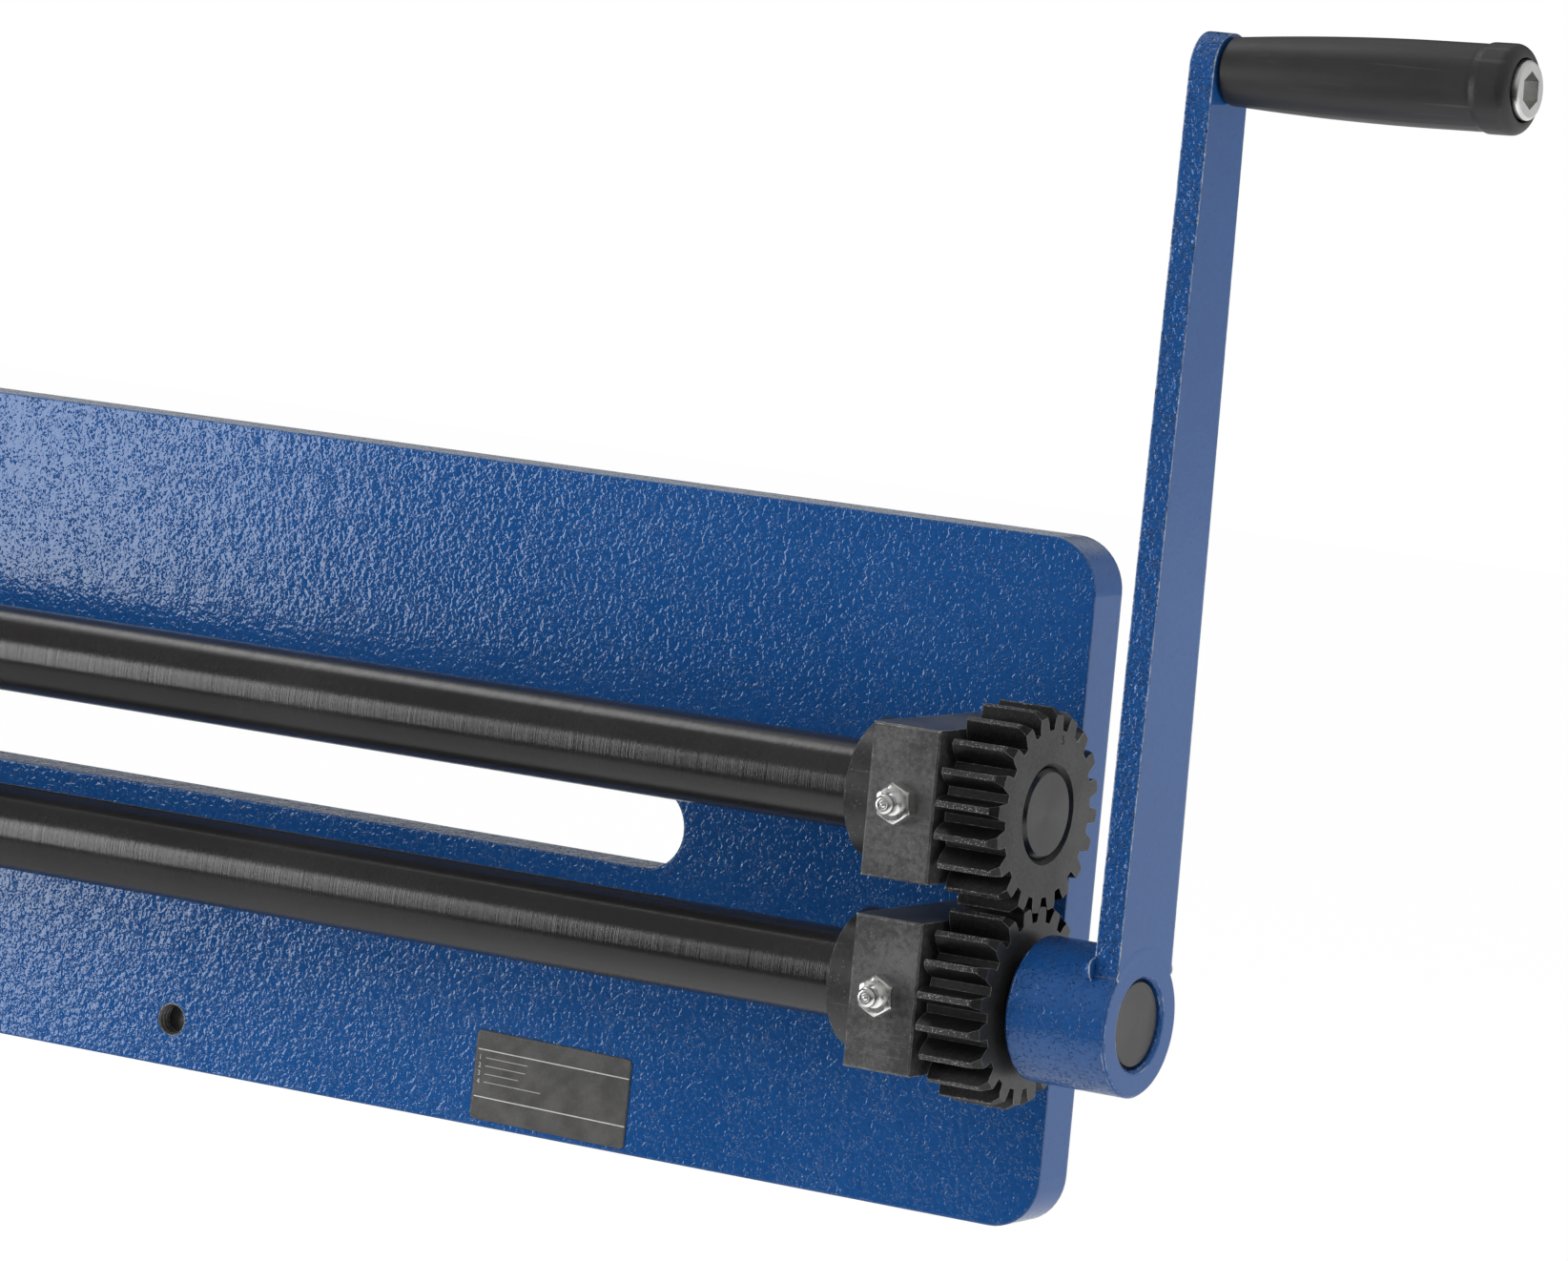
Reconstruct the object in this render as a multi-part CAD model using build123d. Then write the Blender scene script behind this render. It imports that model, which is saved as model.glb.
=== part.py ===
from build123d import *
import math
import os

# A hand cranked bead roller. Millimetres, +Z up. X runs along the shafts, with the crank at the
# +X end, and -Y is the operator's side, where the shafts are. The origin is on the bench plane,
# at the middle of the plate's thickness and halfway along the foot bar.

# ---------------------------------------------------------------------------- driving dimensions
# Fits: radial or face clearances.
turn_fit = 0.04             # a shaft that turns in its bush, or a grip on its screw
slip_fit = 0.02             # a piece slid onto a shaft and locked there
thread_fit = 0.05           # a screw in its tapped hole
press_fit_gap = 0.0         # a bush pressed into its block
body_gap = 0.3              # two pieces that move past each other
eased_fit = 0.30            # the rear upper bush, bored large so that its shaft can tip
cut_past = 1.0              # by how much a cutting shape sticks out of the piece it cuts

# Frame plate.
plate_thickness = 17.5
plate_height = 220.0
plate_corner = 17.0         # radius of its four corners
throat_depth = 460.0        # from the rolls' middle to the closed end of the throat
throat_height = 27.6
throat_lift = 0.8           # throat's middle above halfway between the shafts
rear_web = 143.0            # plate behind the throat, up to the crank end
nose_lip = 2.0              # plate beyond the front blocks
foot_to_rear_edge = 390.0   # from the foot bar's middle to the plate's crank end

# Foot bar, behind the plate, flush with its bottom edge.
foot_side = 32.0
foot_length = 220.0
foot_screw_spacing = 100.0
foot_screw_recess = 6.0     # from the plate's front face to the screws' ends
bench_hole_spacing = 180.0
bench_hole_diameter = 13.0

# Shafts.
shaft_height = 107.5        # bench plane to halfway between the shafts
shaft_reach = 36.0          # plate face to shaft axes
shaft_diameter = 28.6
seat_diameter = 22.0        # where the rolls sit
stud_diameter = 20.0        # the threaded end
shaft_edge = 1.2            # chamfer on the shafts' ends
hub_recess = 1.5            # lower shaft's end, inside the crank hub's face

# Bearing blocks and their bushes.
block_width = 24.0
block_height = 48.0
block_nose = 28.8           # shaft axis to the block's front face
block_edge = 0.6
rear_block_inset = 14.0     # plate's crank end to the rear blocks
bush_wall = 2.7
bolt_offset = 14.0          # rear blocks' bolts, above and below the shaft axis
front_bolt_near = 5.0       # front blocks' bolts: from the shaft axis towards the throat,
front_bolt_far = 16.0       # and from the shaft axis away from the throat
bolt_thread_depth = 16.0
bolt_tip_gap = 1.0          # bolt's end to the bottom of its hole

# Fasteners: M10 bolts behind the plate, M12 cap screws, M6 set screws.
bolt_diameter = 10.0
bolt_hole_gap = 0.5
bolt_head_flats = 17.0
bolt_head_height = 6.4
washer_diameter = 20.0
washer_thickness = 2.0
cap_thread_diameter = 10.9  # pitch diameter of an M12 thread
cap_shank_diameter = 12.0
cap_head_diameter = 18.0
cap_head_height = 12.0
cap_socket_flats = 10.0
cap_socket_depth = 6.0
cap_head_gap = 0.6
cap_head_edge = 1.0
set_screw_diameter = 6.0
set_screw_socket = 3.0
set_screw_sink = 0.6        # below the surface of what it is screwed into

# Grease nipples.
nipple_flats = 12.0
nipple_hex_height = 5.0
nipple_height = 11.0
nipple_head_diameter = 6.5
nipple_neck_diameter = 4.6
nipple_thread_diameter = 8.0
nipple_thread_length = 6.0

# Gears.
gear_module = 3.0
gear_teeth = 20
gear_pressure_angle = 20.0
gear_dedendum = 1.25        # tooth root below the pitch circle, in modules
gear_width = 21.5
gear_boss_diameter = 42.0
gear_boss_length = 2.3
gear_flank_thinning = 0.30  # taken off each tooth, so that the pair runs when the shaft tips
gear_flank_steps = 5        # points along each involute, less one
gear_root_overlap = 0.5     # depth to which each tooth's outline enters the gear's core
gear_root_spread = 1.25     # a tooth's angular width at that depth, over its width at the base circle
gear_tip_chamfer = 2.1      # radial, on the crank side
gear_tip_chamfer_run = 3.2  # along the axis
gear_bore_chamfer = 1.7
gear_phase = 4.0            # degrees by which the meshing tooth stands off the line of centres

# Set collars.
collar_diameter = 44.8
collar_width = 12.0
collar_edge = 0.8
tip_gap = 0.55              # collar and gear boss to the block, with room for the shaft to tip

# Crank.
hub_diameter = 45.8
hub_length = 35.5
hub_gap = 3.5               # gear to hub
hub_bore_chamfer = 1.0
hub_edge = 1.5
arm_length = 293.1          # shaft axis to grip axis
arm_thickness = 8.5
arm_root_width = 35.0       # at the shaft axis
arm_tip_width = 23.1        # at the grip axis
weld_leg = 4.5
weld_fullness = 0.58        # 0.5 is a flat fillet, more is a crowned one
weld_spread = 49.0          # degrees of the hub that the weld covers, each side of the arm's middle

# Grip. The screw leans a little, outer end up, and the grip with it.
screw_lean = 1.65           # degrees
grip_gap = 0.75             # arm to grip
grip_length = 97.5
grip_root_radius = 10.4
grip_waist_radius = 12.4
grip_swell_radius = 13.15
grip_lip_radius = 13.7
grip_waist_at = 35.0
grip_swell_at = 68.0
grip_lip_at = 88.0
grip_end_round = 3.6
grip_root_chamfer = 1.2
grip_lip_run = 2.0          # along the axis, from the swell up to the lip
grip_screw_recess = 1.0     # from the arm's inner face to the screw's end
head_proud = 2.0            # screw head past the grip's end

# Rolls (a bead pair), their keys, washers and nuts.
die_width = 24.0
die_gap = 8.0               # rolls to the front blocks
sheet_gap = 1.2             # between the rolls at rest: the thickest sheet
die_rib_half_width = 3.2
die_rib_height = 4.6
die_groove_half_width = 4.6
die_groove_depth = 5.4
die_edge = 2.0
die_dish_diameter = 46.0
die_dish_inner_diameter = 36.0
die_dish_depth = 1.5
die_dish_slope = 1.0        # widening of the dish from its floor to the roll's face
die_play = 0.3              # roll to shaft shoulder
key_width = 5.0
key_height = 5.0
key_sink = 2.8              # part of the key's height below the seat's surface
die_washer_diameter = 36.0
die_washer_thickness = 3.0
die_nut_flats = 30.0
die_nut_thickness = 12.0
stud_past_nut = 3.0

# Height adjustment of the upper shaft.
nose_lift = 6.0
retainer_thickness = 10.0
retainer_reach = 21.0       # half of the retainer's length, along Y
retainer_pocket_depth = 6.5
pad_diameter = 18.0
pad_thickness = 2.0
pad_play = 0.1              # pad to screw
pocket_gap = 0.8            # radial, round the pad, for the arc on which the block rises
neck_diameter = 12.0
button_thickness = 3.2
neck_length = 6.4
adjuster_thickness = 36.0
adjuster_bolt_offset = 10.5  # bolts above and below the adjuster block's middle
adjuster_gap = 1.0          # retainer to adjuster block with the shaft fully raised
screw_diameter = 16.0
screw_standoff = 14.0       # adjuster block to the screw's head, with the shaft down
screw_head_diameter = 24.0
screw_head_height = 22.0
tee_diameter = 10.0
tee_length = 110.0
knob_diameter = 17.0
knob_length = 15.0
knob_round = 6.0
knob_sink = 9.0             # depth to which the bar enters each knob
retainer_screw_diameter = 5.0
retainer_screw_length = 12.0
retainer_screw_head = 8.5
retainer_screw_head_height = 5.0
retainer_screw_head_gap = 0.2
retainer_screw_flats = 4.0
retainer_screw_at = 15.0    # each side of the adjusting screw, along Y

# ---------------------------------------------------------------------------- places worked out
plate_front_y = -plate_thickness / 2
plate_back_y = plate_thickness / 2
plate_rear_x = foot_to_rear_edge
throat_end_x = plate_rear_x - rear_web
die_x = throat_end_x - throat_depth
die_outer_x = die_x - die_width / 2
die_inner_x = die_x + die_width / 2
front_block_x = die_inner_x + die_gap + block_width / 2
plate_nose_x = front_block_x - block_width / 2 - nose_lip
rear_block_x = plate_rear_x - rear_block_inset - block_width / 2

shaft_y = plate_front_y - shaft_reach
block_front_y = shaft_y - block_nose
shaft_spacing = gear_module * gear_teeth
lower_z = shaft_height - shaft_spacing / 2
upper_z = shaft_height + shaft_spacing / 2
shaft_radius = shaft_diameter / 2
bush_radius = shaft_radius + eased_fit + bush_wall

gear_x = rear_block_x + block_width / 2 + tip_gap + gear_boss_length
gear_end_x = gear_x + gear_width
collar_x = rear_block_x - block_width / 2 - tip_gap - collar_width
hub_x = gear_end_x + hub_gap
hub_end_x = hub_x + hub_length
grip_z = lower_z + arm_length

# Heights of each block's bolts from its shaft axis.
rear_bolts = (-bolt_offset, bolt_offset)
front_lower_bolts = (-front_bolt_far, front_bolt_near)
front_upper_bolts = (-front_bolt_near, front_bolt_far)

carriage_back_y = plate_front_y - body_gap
retainer_z = upper_z + block_height / 2
adjuster_z = retainer_z + retainer_thickness + nose_lift + adjuster_gap
adjuster_top_z = adjuster_z + adjuster_thickness
pad_z = retainer_z + body_gap
button_z = pad_z + pad_thickness + pad_play
neck_z = button_z + button_thickness
screw_thread_z = neck_z + neck_length
screw_head_z = adjuster_top_z + screw_standoff

# ---------------------------------------------------------------------------- plain shapes


def along_x(radius, start, end, y, z):
    """Round bar along X."""
    bar = Cylinder(radius, end - start, align=(Align.CENTER, Align.CENTER, Align.MIN))
    return Pos(start, y, z) * Rot(0, 90, 0) * bar


def along_y(radius, start, end, x, z):
    """Round bar along Y."""
    bar = Cylinder(radius, end - start, align=(Align.CENTER, Align.CENTER, Align.MIN))
    return Pos(x, start, z) * Rot(-90, 0, 0) * bar


def along_z(radius, start, end, x, y):
    """Round bar along Z."""
    bar = Cylinder(radius, end - start, align=(Align.CENTER, Align.CENTER, Align.MIN))
    return Pos(x, y, start) * bar


def slab(x_span, y_span, z_span):
    """Rectangular block from its spans along X, Y and Z."""
    size = [span[1] - span[0] for span in (x_span, y_span, z_span)]
    low = Align.MIN
    return Pos(x_span[0], y_span[0], z_span[0]) * Box(*size, align=(low, low, low))


def turned(points, y, z):
    """Solid turned about the line along X at (y, z), from its (x, radius) outline."""
    outline = make_face(Polyline(*[(x, radius) for x, radius in points], close=True))
    solid = revolve(outline, Axis.X)
    return Pos(0, y, z) * solid


def hexagon_bar(flats, length):
    """Six-sided bar that stands on the XY plane, with its corners rounded off by a cone."""
    corner_radius = flats / math.sqrt(3)
    bar = extrude(RegularPolygon(corner_radius, 6), length)
    cone_height = length + (corner_radius - flats / 2)
    envelope = Cone(
        corner_radius + length * 0.58,
        flats / 2 * 0.97,
        cone_height,
        align=(Align.CENTER, Align.CENTER, Align.MIN),
    )
    return bar & envelope


def socket(flats, depth):
    """Hexagonal socket cut, opening upwards at the XY plane."""
    return Pos(0, 0, -depth) * extrude(RegularPolygon(flats / math.sqrt(3), 6), depth)


# ---------------------------------------------------------------------------- fasteners


def hex_bolt(x, z, tip_y, head_y):
    """Hexagon bolt along Y, its head behind the plate at head_y, its tip at tip_y."""
    head = Pos(x, head_y, z) * Rot(-90, 0, 0) * hexagon_bar(bolt_head_flats, bolt_head_height)
    return along_y(bolt_diameter / 2, tip_y, head_y, x, z) + head


def washer(x, z, front_y):
    """Plain washer of a plate bolt."""
    disc = along_y(washer_diameter / 2, front_y, front_y + washer_thickness, x, z)
    radius = bolt_diameter / 2 + bolt_hole_gap
    hole = along_y(radius, front_y - cut_past, front_y + washer_thickness + cut_past, x, z)
    return disc - hole


def set_screw(bottom, top):
    """Headless screw that stands on +Z, from one radius to another."""
    body = along_z(set_screw_diameter / 2 - thread_fit, bottom, top, 0, 0)
    body = chamfer(body.edges().group_by(Axis.Z)[0], set_screw_diameter / 8)
    return body - Pos(0, 0, top) * socket(set_screw_socket, (top - bottom) / 2)


def radial_place(x, z, turn):
    """Place whose +Z points away from a shaft axis; turn 0 is towards the plate."""
    return Pos(x, shaft_y, z) * Rot(turn, 0, 0) * Rot(-90, 0, 0)


def set_screw_hole(x, z, turn):
    """Tapped hole for a set screw, from the shaft's surface outwards."""
    hole = along_z(set_screw_diameter / 2, shaft_radius - cut_past, hub_diameter, 0, 0)
    return radial_place(x, z, turn) * hole


def placed_set_screw(x, z, turn, outer_radius):
    """Set screw that bears on the shaft."""
    return radial_place(x, z, turn) * set_screw(shaft_radius, outer_radius - set_screw_sink)


def nipple(x, z):
    """Grease nipple that stands on a block's front face and points at the operator."""
    hexagon = hexagon_bar(nipple_flats, nipple_hex_height)
    neck_top = nipple_height - nipple_head_diameter * 0.75
    profile = Polyline(
        (0, -nipple_thread_length),
        (nipple_thread_diameter / 2 - thread_fit, -nipple_thread_length),
        (nipple_thread_diameter / 2 - thread_fit, 0),
        (nipple_flats / 2 * 0.9, 0),
        (nipple_flats / 2 * 0.9, nipple_hex_height),
        (nipple_head_diameter / 2 + 0.8, nipple_hex_height + 0.6),
        (nipple_neck_diameter / 2, neck_top - 0.4),
        (nipple_neck_diameter / 2, neck_top + 0.6),
        (nipple_head_diameter / 2, neck_top + 1.9),
        (nipple_head_diameter / 2, neck_top + 2.9),
        (nipple_head_diameter / 4, nipple_height),
        (0, nipple_height),
        close=True,
    )
    stem = revolve(make_face(profile.rotate(Axis.X, 90)), Axis.Z)
    return Pos(x, block_front_y, z) * Rot(90, 0, 0) * (hexagon + stem)


# ---------------------------------------------------------------------------- frame


def bolt_places():
    """(x, z) of each bolt that holds a fixed block on the plate."""
    adjuster_mid = (adjuster_z + adjuster_top_z) / 2
    places = []
    for x, z, offsets in (
        (rear_block_x, upper_z, rear_bolts),
        (rear_block_x, lower_z, rear_bolts),
        (front_block_x, lower_z, front_lower_bolts),
        (front_block_x, adjuster_mid, (-adjuster_bolt_offset, adjuster_bolt_offset)),
    ):
        places += [(x, z + offset) for offset in offsets]
    return places


def carriage_bolt_places():
    """(x, z) of each bolt that guides the front upper block."""
    return [(front_block_x, upper_z + offset) for offset in front_upper_bolts]


def foot_screw_places():
    """(x, z) of each screw that holds the foot bar."""
    return [(side * foot_screw_spacing / 2, foot_side / 2) for side in (-1, 1)]


def frame_plate():
    """Thick plate with the throat cut in from the roll end."""
    middle_x = (plate_nose_x + plate_rear_x) / 2
    outline = Pos(middle_x, plate_height / 2) * Rectangle(plate_rear_x - plate_nose_x, plate_height)
    outline = fillet(outline.vertices(), plate_corner)
    throat_radius = throat_height / 2
    throat_arc_x = throat_end_x - throat_radius
    throat_z = shaft_height + throat_lift
    open_length = throat_arc_x - plate_nose_x + cut_past
    throat = Pos(throat_arc_x - open_length / 2, throat_z) * Rectangle(open_length, throat_height)
    throat += Pos(throat_arc_x, throat_z) * Circle(throat_radius)
    outline -= throat
    plate = Pos(0, plate_back_y, 0) * Rot(90, 0, 0) * extrude(outline, plate_thickness)
    hole_radius = bolt_diameter / 2 + bolt_hole_gap
    before = plate_front_y - cut_past
    behind = plate_back_y + cut_past
    for x, z in bolt_places():
        plate -= along_y(hole_radius, before, behind, x, z)
    for x, z in carriage_bolt_places():
        low_z = z
        high_z = z + nose_lift
        slot = along_y(hole_radius, before, behind, x, low_z)
        slot += along_y(hole_radius, before, behind, x, high_z)
        slot += slab((x - hole_radius, x + hole_radius), (before, behind), (low_z, high_z))
        plate -= slot
    for x, z in foot_screw_places():
        plate -= along_y(cap_thread_diameter / 2 + thread_fit, before, behind, x, z)
    return plate


def foot_bar():
    """Square bar behind the plate, with its own screws' counterbores and the bench holes."""
    back_y = plate_back_y + foot_side
    half = foot_length / 2
    bar = slab((-half, half), (plate_back_y, back_y), (0, foot_side))
    for x, z in foot_screw_places():
        shank = cap_shank_diameter / 2 + bolt_hole_gap
        bar -= along_y(shank, plate_back_y - cut_past, back_y + cut_past, x, z)
        recess = cap_head_diameter / 2 + cap_head_gap
        bar -= along_y(recess, back_y - cap_head_height, back_y + cut_past, x, z)
    for side in (-1, 1):
        x = side * bench_hole_spacing / 2
        middle_y = plate_back_y + foot_side / 2
        bar -= along_z(bench_hole_diameter / 2, -cut_past, foot_side + cut_past, x, middle_y)
    return bar


def foot_screws():
    """Cap screws from behind the foot bar into the plate's tapped holes."""
    head_y = plate_back_y + foot_side - cap_head_height
    tip_y = plate_front_y + foot_screw_recess
    screws = []
    for x, z in foot_screw_places():
        screw = along_y(cap_thread_diameter / 2, tip_y, head_y, x, z)
        screw += along_y(cap_head_diameter / 2, head_y, head_y + cap_head_height, x, z)
        recess = Pos(x, head_y + cap_head_height, z) * Rot(-90, 0, 0)
        screws.append(screw - recess * socket(cap_socket_flats, cap_socket_depth))
    return screws


def bearing_block(x, z, back_y, bolts):
    """Steel block, bored for its bush, tapped at the back and at the front for its nipple."""
    half_width = block_width / 2
    half_height = block_height / 2
    block = slab(
        (x - half_width, x + half_width),
        (block_front_y, back_y),
        (z - half_height, z + half_height),
    )
    block = chamfer(block.faces().sort_by(Axis.Y)[0].edges(), block_edge)
    start, end = x - half_width - cut_past, x + half_width + cut_past
    block -= along_x(bush_radius + press_fit_gap, start, end, shaft_y, z)
    for offset in bolts:
        thread = bolt_diameter / 2 + thread_fit
        block -= along_y(thread, back_y - bolt_thread_depth, back_y + cut_past, x, z + offset)
    feed = nipple_thread_diameter / 2
    block -= along_y(feed, block_front_y - cut_past, block_front_y + nipple_thread_length, x, z)
    return block


def bush(x, z, fit):
    """Bronze sleeve as long as its block."""
    half = block_width / 2
    sleeve = along_x(bush_radius, x - half, x + half, shaft_y, z)
    return sleeve - along_x(shaft_radius + fit, x - half - cut_past, x + half + cut_past, shaft_y, z)


def adjuster_block():
    """Block above the front upper block, tapped for the adjusting screw."""
    half_width = block_width / 2
    block = slab(
        (front_block_x - half_width, front_block_x + half_width),
        (block_front_y, plate_front_y),
        (adjuster_z, adjuster_top_z),
    )
    block = chamfer(block.faces().sort_by(Axis.Y)[0].edges(), block_edge)
    thread = screw_diameter / 2 + thread_fit
    start, end = adjuster_z - cut_past, adjuster_top_z + cut_past
    block -= along_z(thread, start, end, front_block_x, shaft_y)
    for x, z in bolt_places()[-2:]:
        depth = plate_front_y - bolt_thread_depth
        block -= along_y(bolt_diameter / 2 + thread_fit, depth, plate_front_y + cut_past, x, z)
    return block


def plate_bolts(places, back_y):
    """Bolts through the plate, with their washers' front faces at back_y."""
    tip_y = plate_front_y - bolt_thread_depth + bolt_tip_gap
    return [hex_bolt(x, z, tip_y, back_y + washer_thickness) for x, z in places]


# ---------------------------------------------------------------------------- front upper block


def retainer_screw_places():
    """(x, y) of the screws that hold the retainer on the front upper block."""
    return [(front_block_x, shaft_y + side * retainer_screw_at) for side in (-1, 1)]


def front_upper_block():
    """Bearing block that rides up and down, with tapped holes for the retainer on top."""
    block = bearing_block(front_block_x, upper_z, carriage_back_y, front_upper_bolts)
    bottom = retainer_z + retainer_thickness - retainer_screw_length
    for x, y in retainer_screw_places():
        thread = retainer_screw_diameter / 2 + thread_fit
        block -= along_z(thread, bottom, retainer_z + cut_past, x, y)
    return block


def screw_retainer():
    """Bridge on the block's top that traps the adjusting screw's button."""
    half = block_width / 2
    top = retainer_z + retainer_thickness
    plate = slab(
        (front_block_x - half, front_block_x + half),
        (shaft_y - retainer_reach, shaft_y + retainer_reach),
        (retainer_z, top),
    )
    pocket_top = retainer_z + retainer_pocket_depth
    below, above = retainer_z - cut_past, top + cut_past
    pocket_radius = pad_diameter / 2 + pocket_gap
    pocket = along_z(pocket_radius, below, pocket_top, front_block_x, shaft_y)
    neck_radius = neck_diameter / 2 + pocket_gap
    neck = along_z(neck_radius, pocket_top - cut_past, above, front_block_x, shaft_y)
    plate -= pocket + neck
    for x, y in retainer_screw_places():
        plate -= along_z(retainer_screw_diameter / 2 + thread_fit, below, above, x, y)
        recess = retainer_screw_head / 2 + retainer_screw_head_gap
        plate -= along_z(recess, top - retainer_screw_head_height, above, x, y)
    return plate


def retainer_screws():
    """Cap screws, sunk in the retainer."""
    top = retainer_z + retainer_thickness
    bottom = top - retainer_screw_length
    screws = []
    for x, y in retainer_screw_places():
        screw = along_z(retainer_screw_diameter / 2, bottom, top, x, y)
        screw += along_z(retainer_screw_head / 2, top - retainer_screw_head_height, top, x, y)
        recess = Pos(x, y, top) * socket(retainer_screw_flats, retainer_screw_head_height / 2)
        screws.append(screw - recess)
    return screws


# ---------------------------------------------------------------------------- adjusting screw


def thrust_pad():
    """Hard disc between the adjusting screw and the block."""
    return along_z(pad_diameter / 2, pad_z, pad_z + pad_thickness, front_block_x, shaft_y)


def adjusting_screw():
    """Screw with a trapped button below and a cross-drilled head above."""
    head_top_z = screw_head_z + screw_head_height
    screw = along_z(pad_diameter / 2, button_z, neck_z, front_block_x, shaft_y)
    screw += along_z(neck_diameter / 2, neck_z, screw_thread_z, front_block_x, shaft_y)
    screw += along_z(screw_diameter / 2, screw_thread_z, screw_head_z, front_block_x, shaft_y)
    head = along_z(screw_head_diameter / 2, screw_head_z, head_top_z, front_block_x, shaft_y)
    head = chamfer(head.edges().filter_by(GeomType.CIRCLE), shaft_edge)
    bar_z = screw_head_z + screw_head_height / 2
    start, end = front_block_x - screw_head_diameter, front_block_x + screw_head_diameter
    hole = along_x(tee_diameter / 2 + slip_fit, start, end, shaft_y, bar_z)
    return screw + head - hole


def tee_bar():
    """Cross bar of the adjusting screw."""
    half = tee_length / 2
    bar_z = screw_head_z + screw_head_height / 2
    return along_x(tee_diameter / 2, front_block_x - half, front_block_x + half, shaft_y, bar_z)


def tee_knobs():
    """Rounded ends pushed on the cross bar."""
    bar_z = screw_head_z + screw_head_height / 2
    knobs = []
    for side in (-1, 1):
        inner = tee_length / 2 - knob_sink
        outer = inner + knob_length
        ends = sorted((front_block_x + side * inner, front_block_x + side * outer))
        knob = along_x(knob_diameter / 2, ends[0], ends[1], shaft_y, bar_z)
        rim = knob.edges().filter_by(GeomType.CIRCLE).sort_by(Axis.X)
        knob = fillet(rim[-1] if side > 0 else rim[0], knob_round)
        bar_end = front_block_x + side * tee_length / 2
        hole = sorted((front_block_x + side * (inner - cut_past), bar_end))
        knobs.append(knob - along_x(tee_diameter / 2 + slip_fit, hole[0], hole[1], shaft_y, bar_z))
    return knobs


# ---------------------------------------------------------------------------- shafts


def shaft(z, end_x):
    """Turned shaft from the roll end to end_x, with a keyway in the roll seat."""
    seat_x = die_inner_x + die_play
    stud_x = die_outer_x
    tip_x = stud_x - die_washer_thickness - die_nut_thickness - stud_past_nut
    edge = shaft_edge
    body = turned(
        [
            (tip_x, 0),
            (tip_x, stud_diameter / 2 - edge),
            (tip_x + edge, stud_diameter / 2),
            (stud_x, stud_diameter / 2),
            (stud_x, seat_diameter / 2),
            (seat_x, seat_diameter / 2),
            (seat_x, shaft_radius - edge),
            (seat_x + edge, shaft_radius),
            (end_x - edge, shaft_radius),
            (end_x, shaft_radius - edge),
            (end_x, 0),
        ],
        shaft_y,
        z,
    )
    seat_top = z + seat_diameter / 2
    keyway = slab(
        (die_outer_x - cut_past, die_inner_x),
        (shaft_y - key_width / 2, shaft_y + key_width / 2),
        (seat_top - key_sink, seat_top + cut_past),
    )
    return body - keyway


def die_key(z):
    """Key between the seat and the roll."""
    seat_top = z + seat_diameter / 2
    return slab(
        (die_outer_x, die_inner_x),
        (shaft_y - key_width / 2, shaft_y + key_width / 2),
        (seat_top - key_sink, seat_top - key_sink + key_height),
    )


def roll(z, profile):
    """Roll turned from its rim profile, bored, dished and keyed."""
    bore = seat_diameter / 2 + slip_fit
    dish_inner = die_dish_inner_diameter / 2
    dish_outer = die_dish_diameter / 2
    floor_x = die_outer_x + die_dish_depth
    outline = [(die_outer_x, bore), (die_outer_x, dish_inner - die_dish_slope)]
    outline += [(floor_x, dish_inner), (floor_x, dish_outer)]
    outline += [(die_outer_x, dish_outer + die_dish_slope)]
    outline += profile
    outline += [(die_inner_x, bore)]
    body = turned(outline, shaft_y, z)
    seat_top = z + seat_diameter / 2
    keyway = slab(
        (die_outer_x - cut_past, die_inner_x + cut_past),
        (shaft_y - key_width / 2, shaft_y + key_width / 2),
        (z, seat_top - key_sink + key_height + thread_fit),
    )
    return body - keyway


def rim_radius():
    """Radius of both rolls beside their rib or groove."""
    return (shaft_spacing - sheet_gap) / 2


def upper_die():
    """Roll with the rib."""
    rim = rim_radius()
    half = die_rib_half_width
    tip = rim + die_rib_height
    profile = [
        (die_outer_x, rim - die_edge),
        (die_outer_x + die_edge, rim),
        (die_x - half * 1.25, rim),
        (die_x - half * 0.9, rim + die_rib_height * 0.55),
        (die_x - half * 0.45, tip - 0.4),
        (die_x, tip),
        (die_x + half * 0.45, tip - 0.4),
        (die_x + half * 0.9, rim + die_rib_height * 0.55),
        (die_x + half * 1.25, rim),
        (die_inner_x - die_edge, rim),
        (die_inner_x, rim - die_edge),
    ]
    return roll(upper_z, profile)


def lower_die():
    """Roll with the groove that takes the rib and the sheet round it."""
    rim = rim_radius()
    half = die_groove_half_width
    floor = rim - die_groove_depth
    profile = [
        (die_outer_x, rim - die_edge),
        (die_outer_x + die_edge, rim),
        (die_x - half * 1.3, rim),
        (die_x - half, rim - 0.8),
        (die_x - half * 0.8, floor + 0.8),
        (die_x - half * 0.4, floor),
        (die_x + half * 0.4, floor),
        (die_x + half * 0.8, floor + 0.8),
        (die_x + half, rim - 0.8),
        (die_x + half * 1.3, rim),
        (die_inner_x - die_edge, rim),
        (die_inner_x, rim - die_edge),
    ]
    return roll(lower_z, profile)


def die_washer(z):
    """Washer outside a roll."""
    start = die_outer_x - die_washer_thickness
    disc = along_x(die_washer_diameter / 2, start, die_outer_x, shaft_y, z)
    radius = stud_diameter / 2 + bolt_hole_gap
    return disc - along_x(radius, start - cut_past, die_outer_x + cut_past, shaft_y, z)


def die_nut(z):
    """Nut on a shaft's threaded end."""
    outer = die_outer_x - die_washer_thickness
    nut = Pos(outer, shaft_y, z) * Rot(0, -90, 0) * hexagon_bar(die_nut_flats, die_nut_thickness)
    bore = stud_diameter / 2 + thread_fit
    return nut - along_x(bore, outer - die_nut_thickness - cut_past, outer + cut_past, shaft_y, z)


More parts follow.
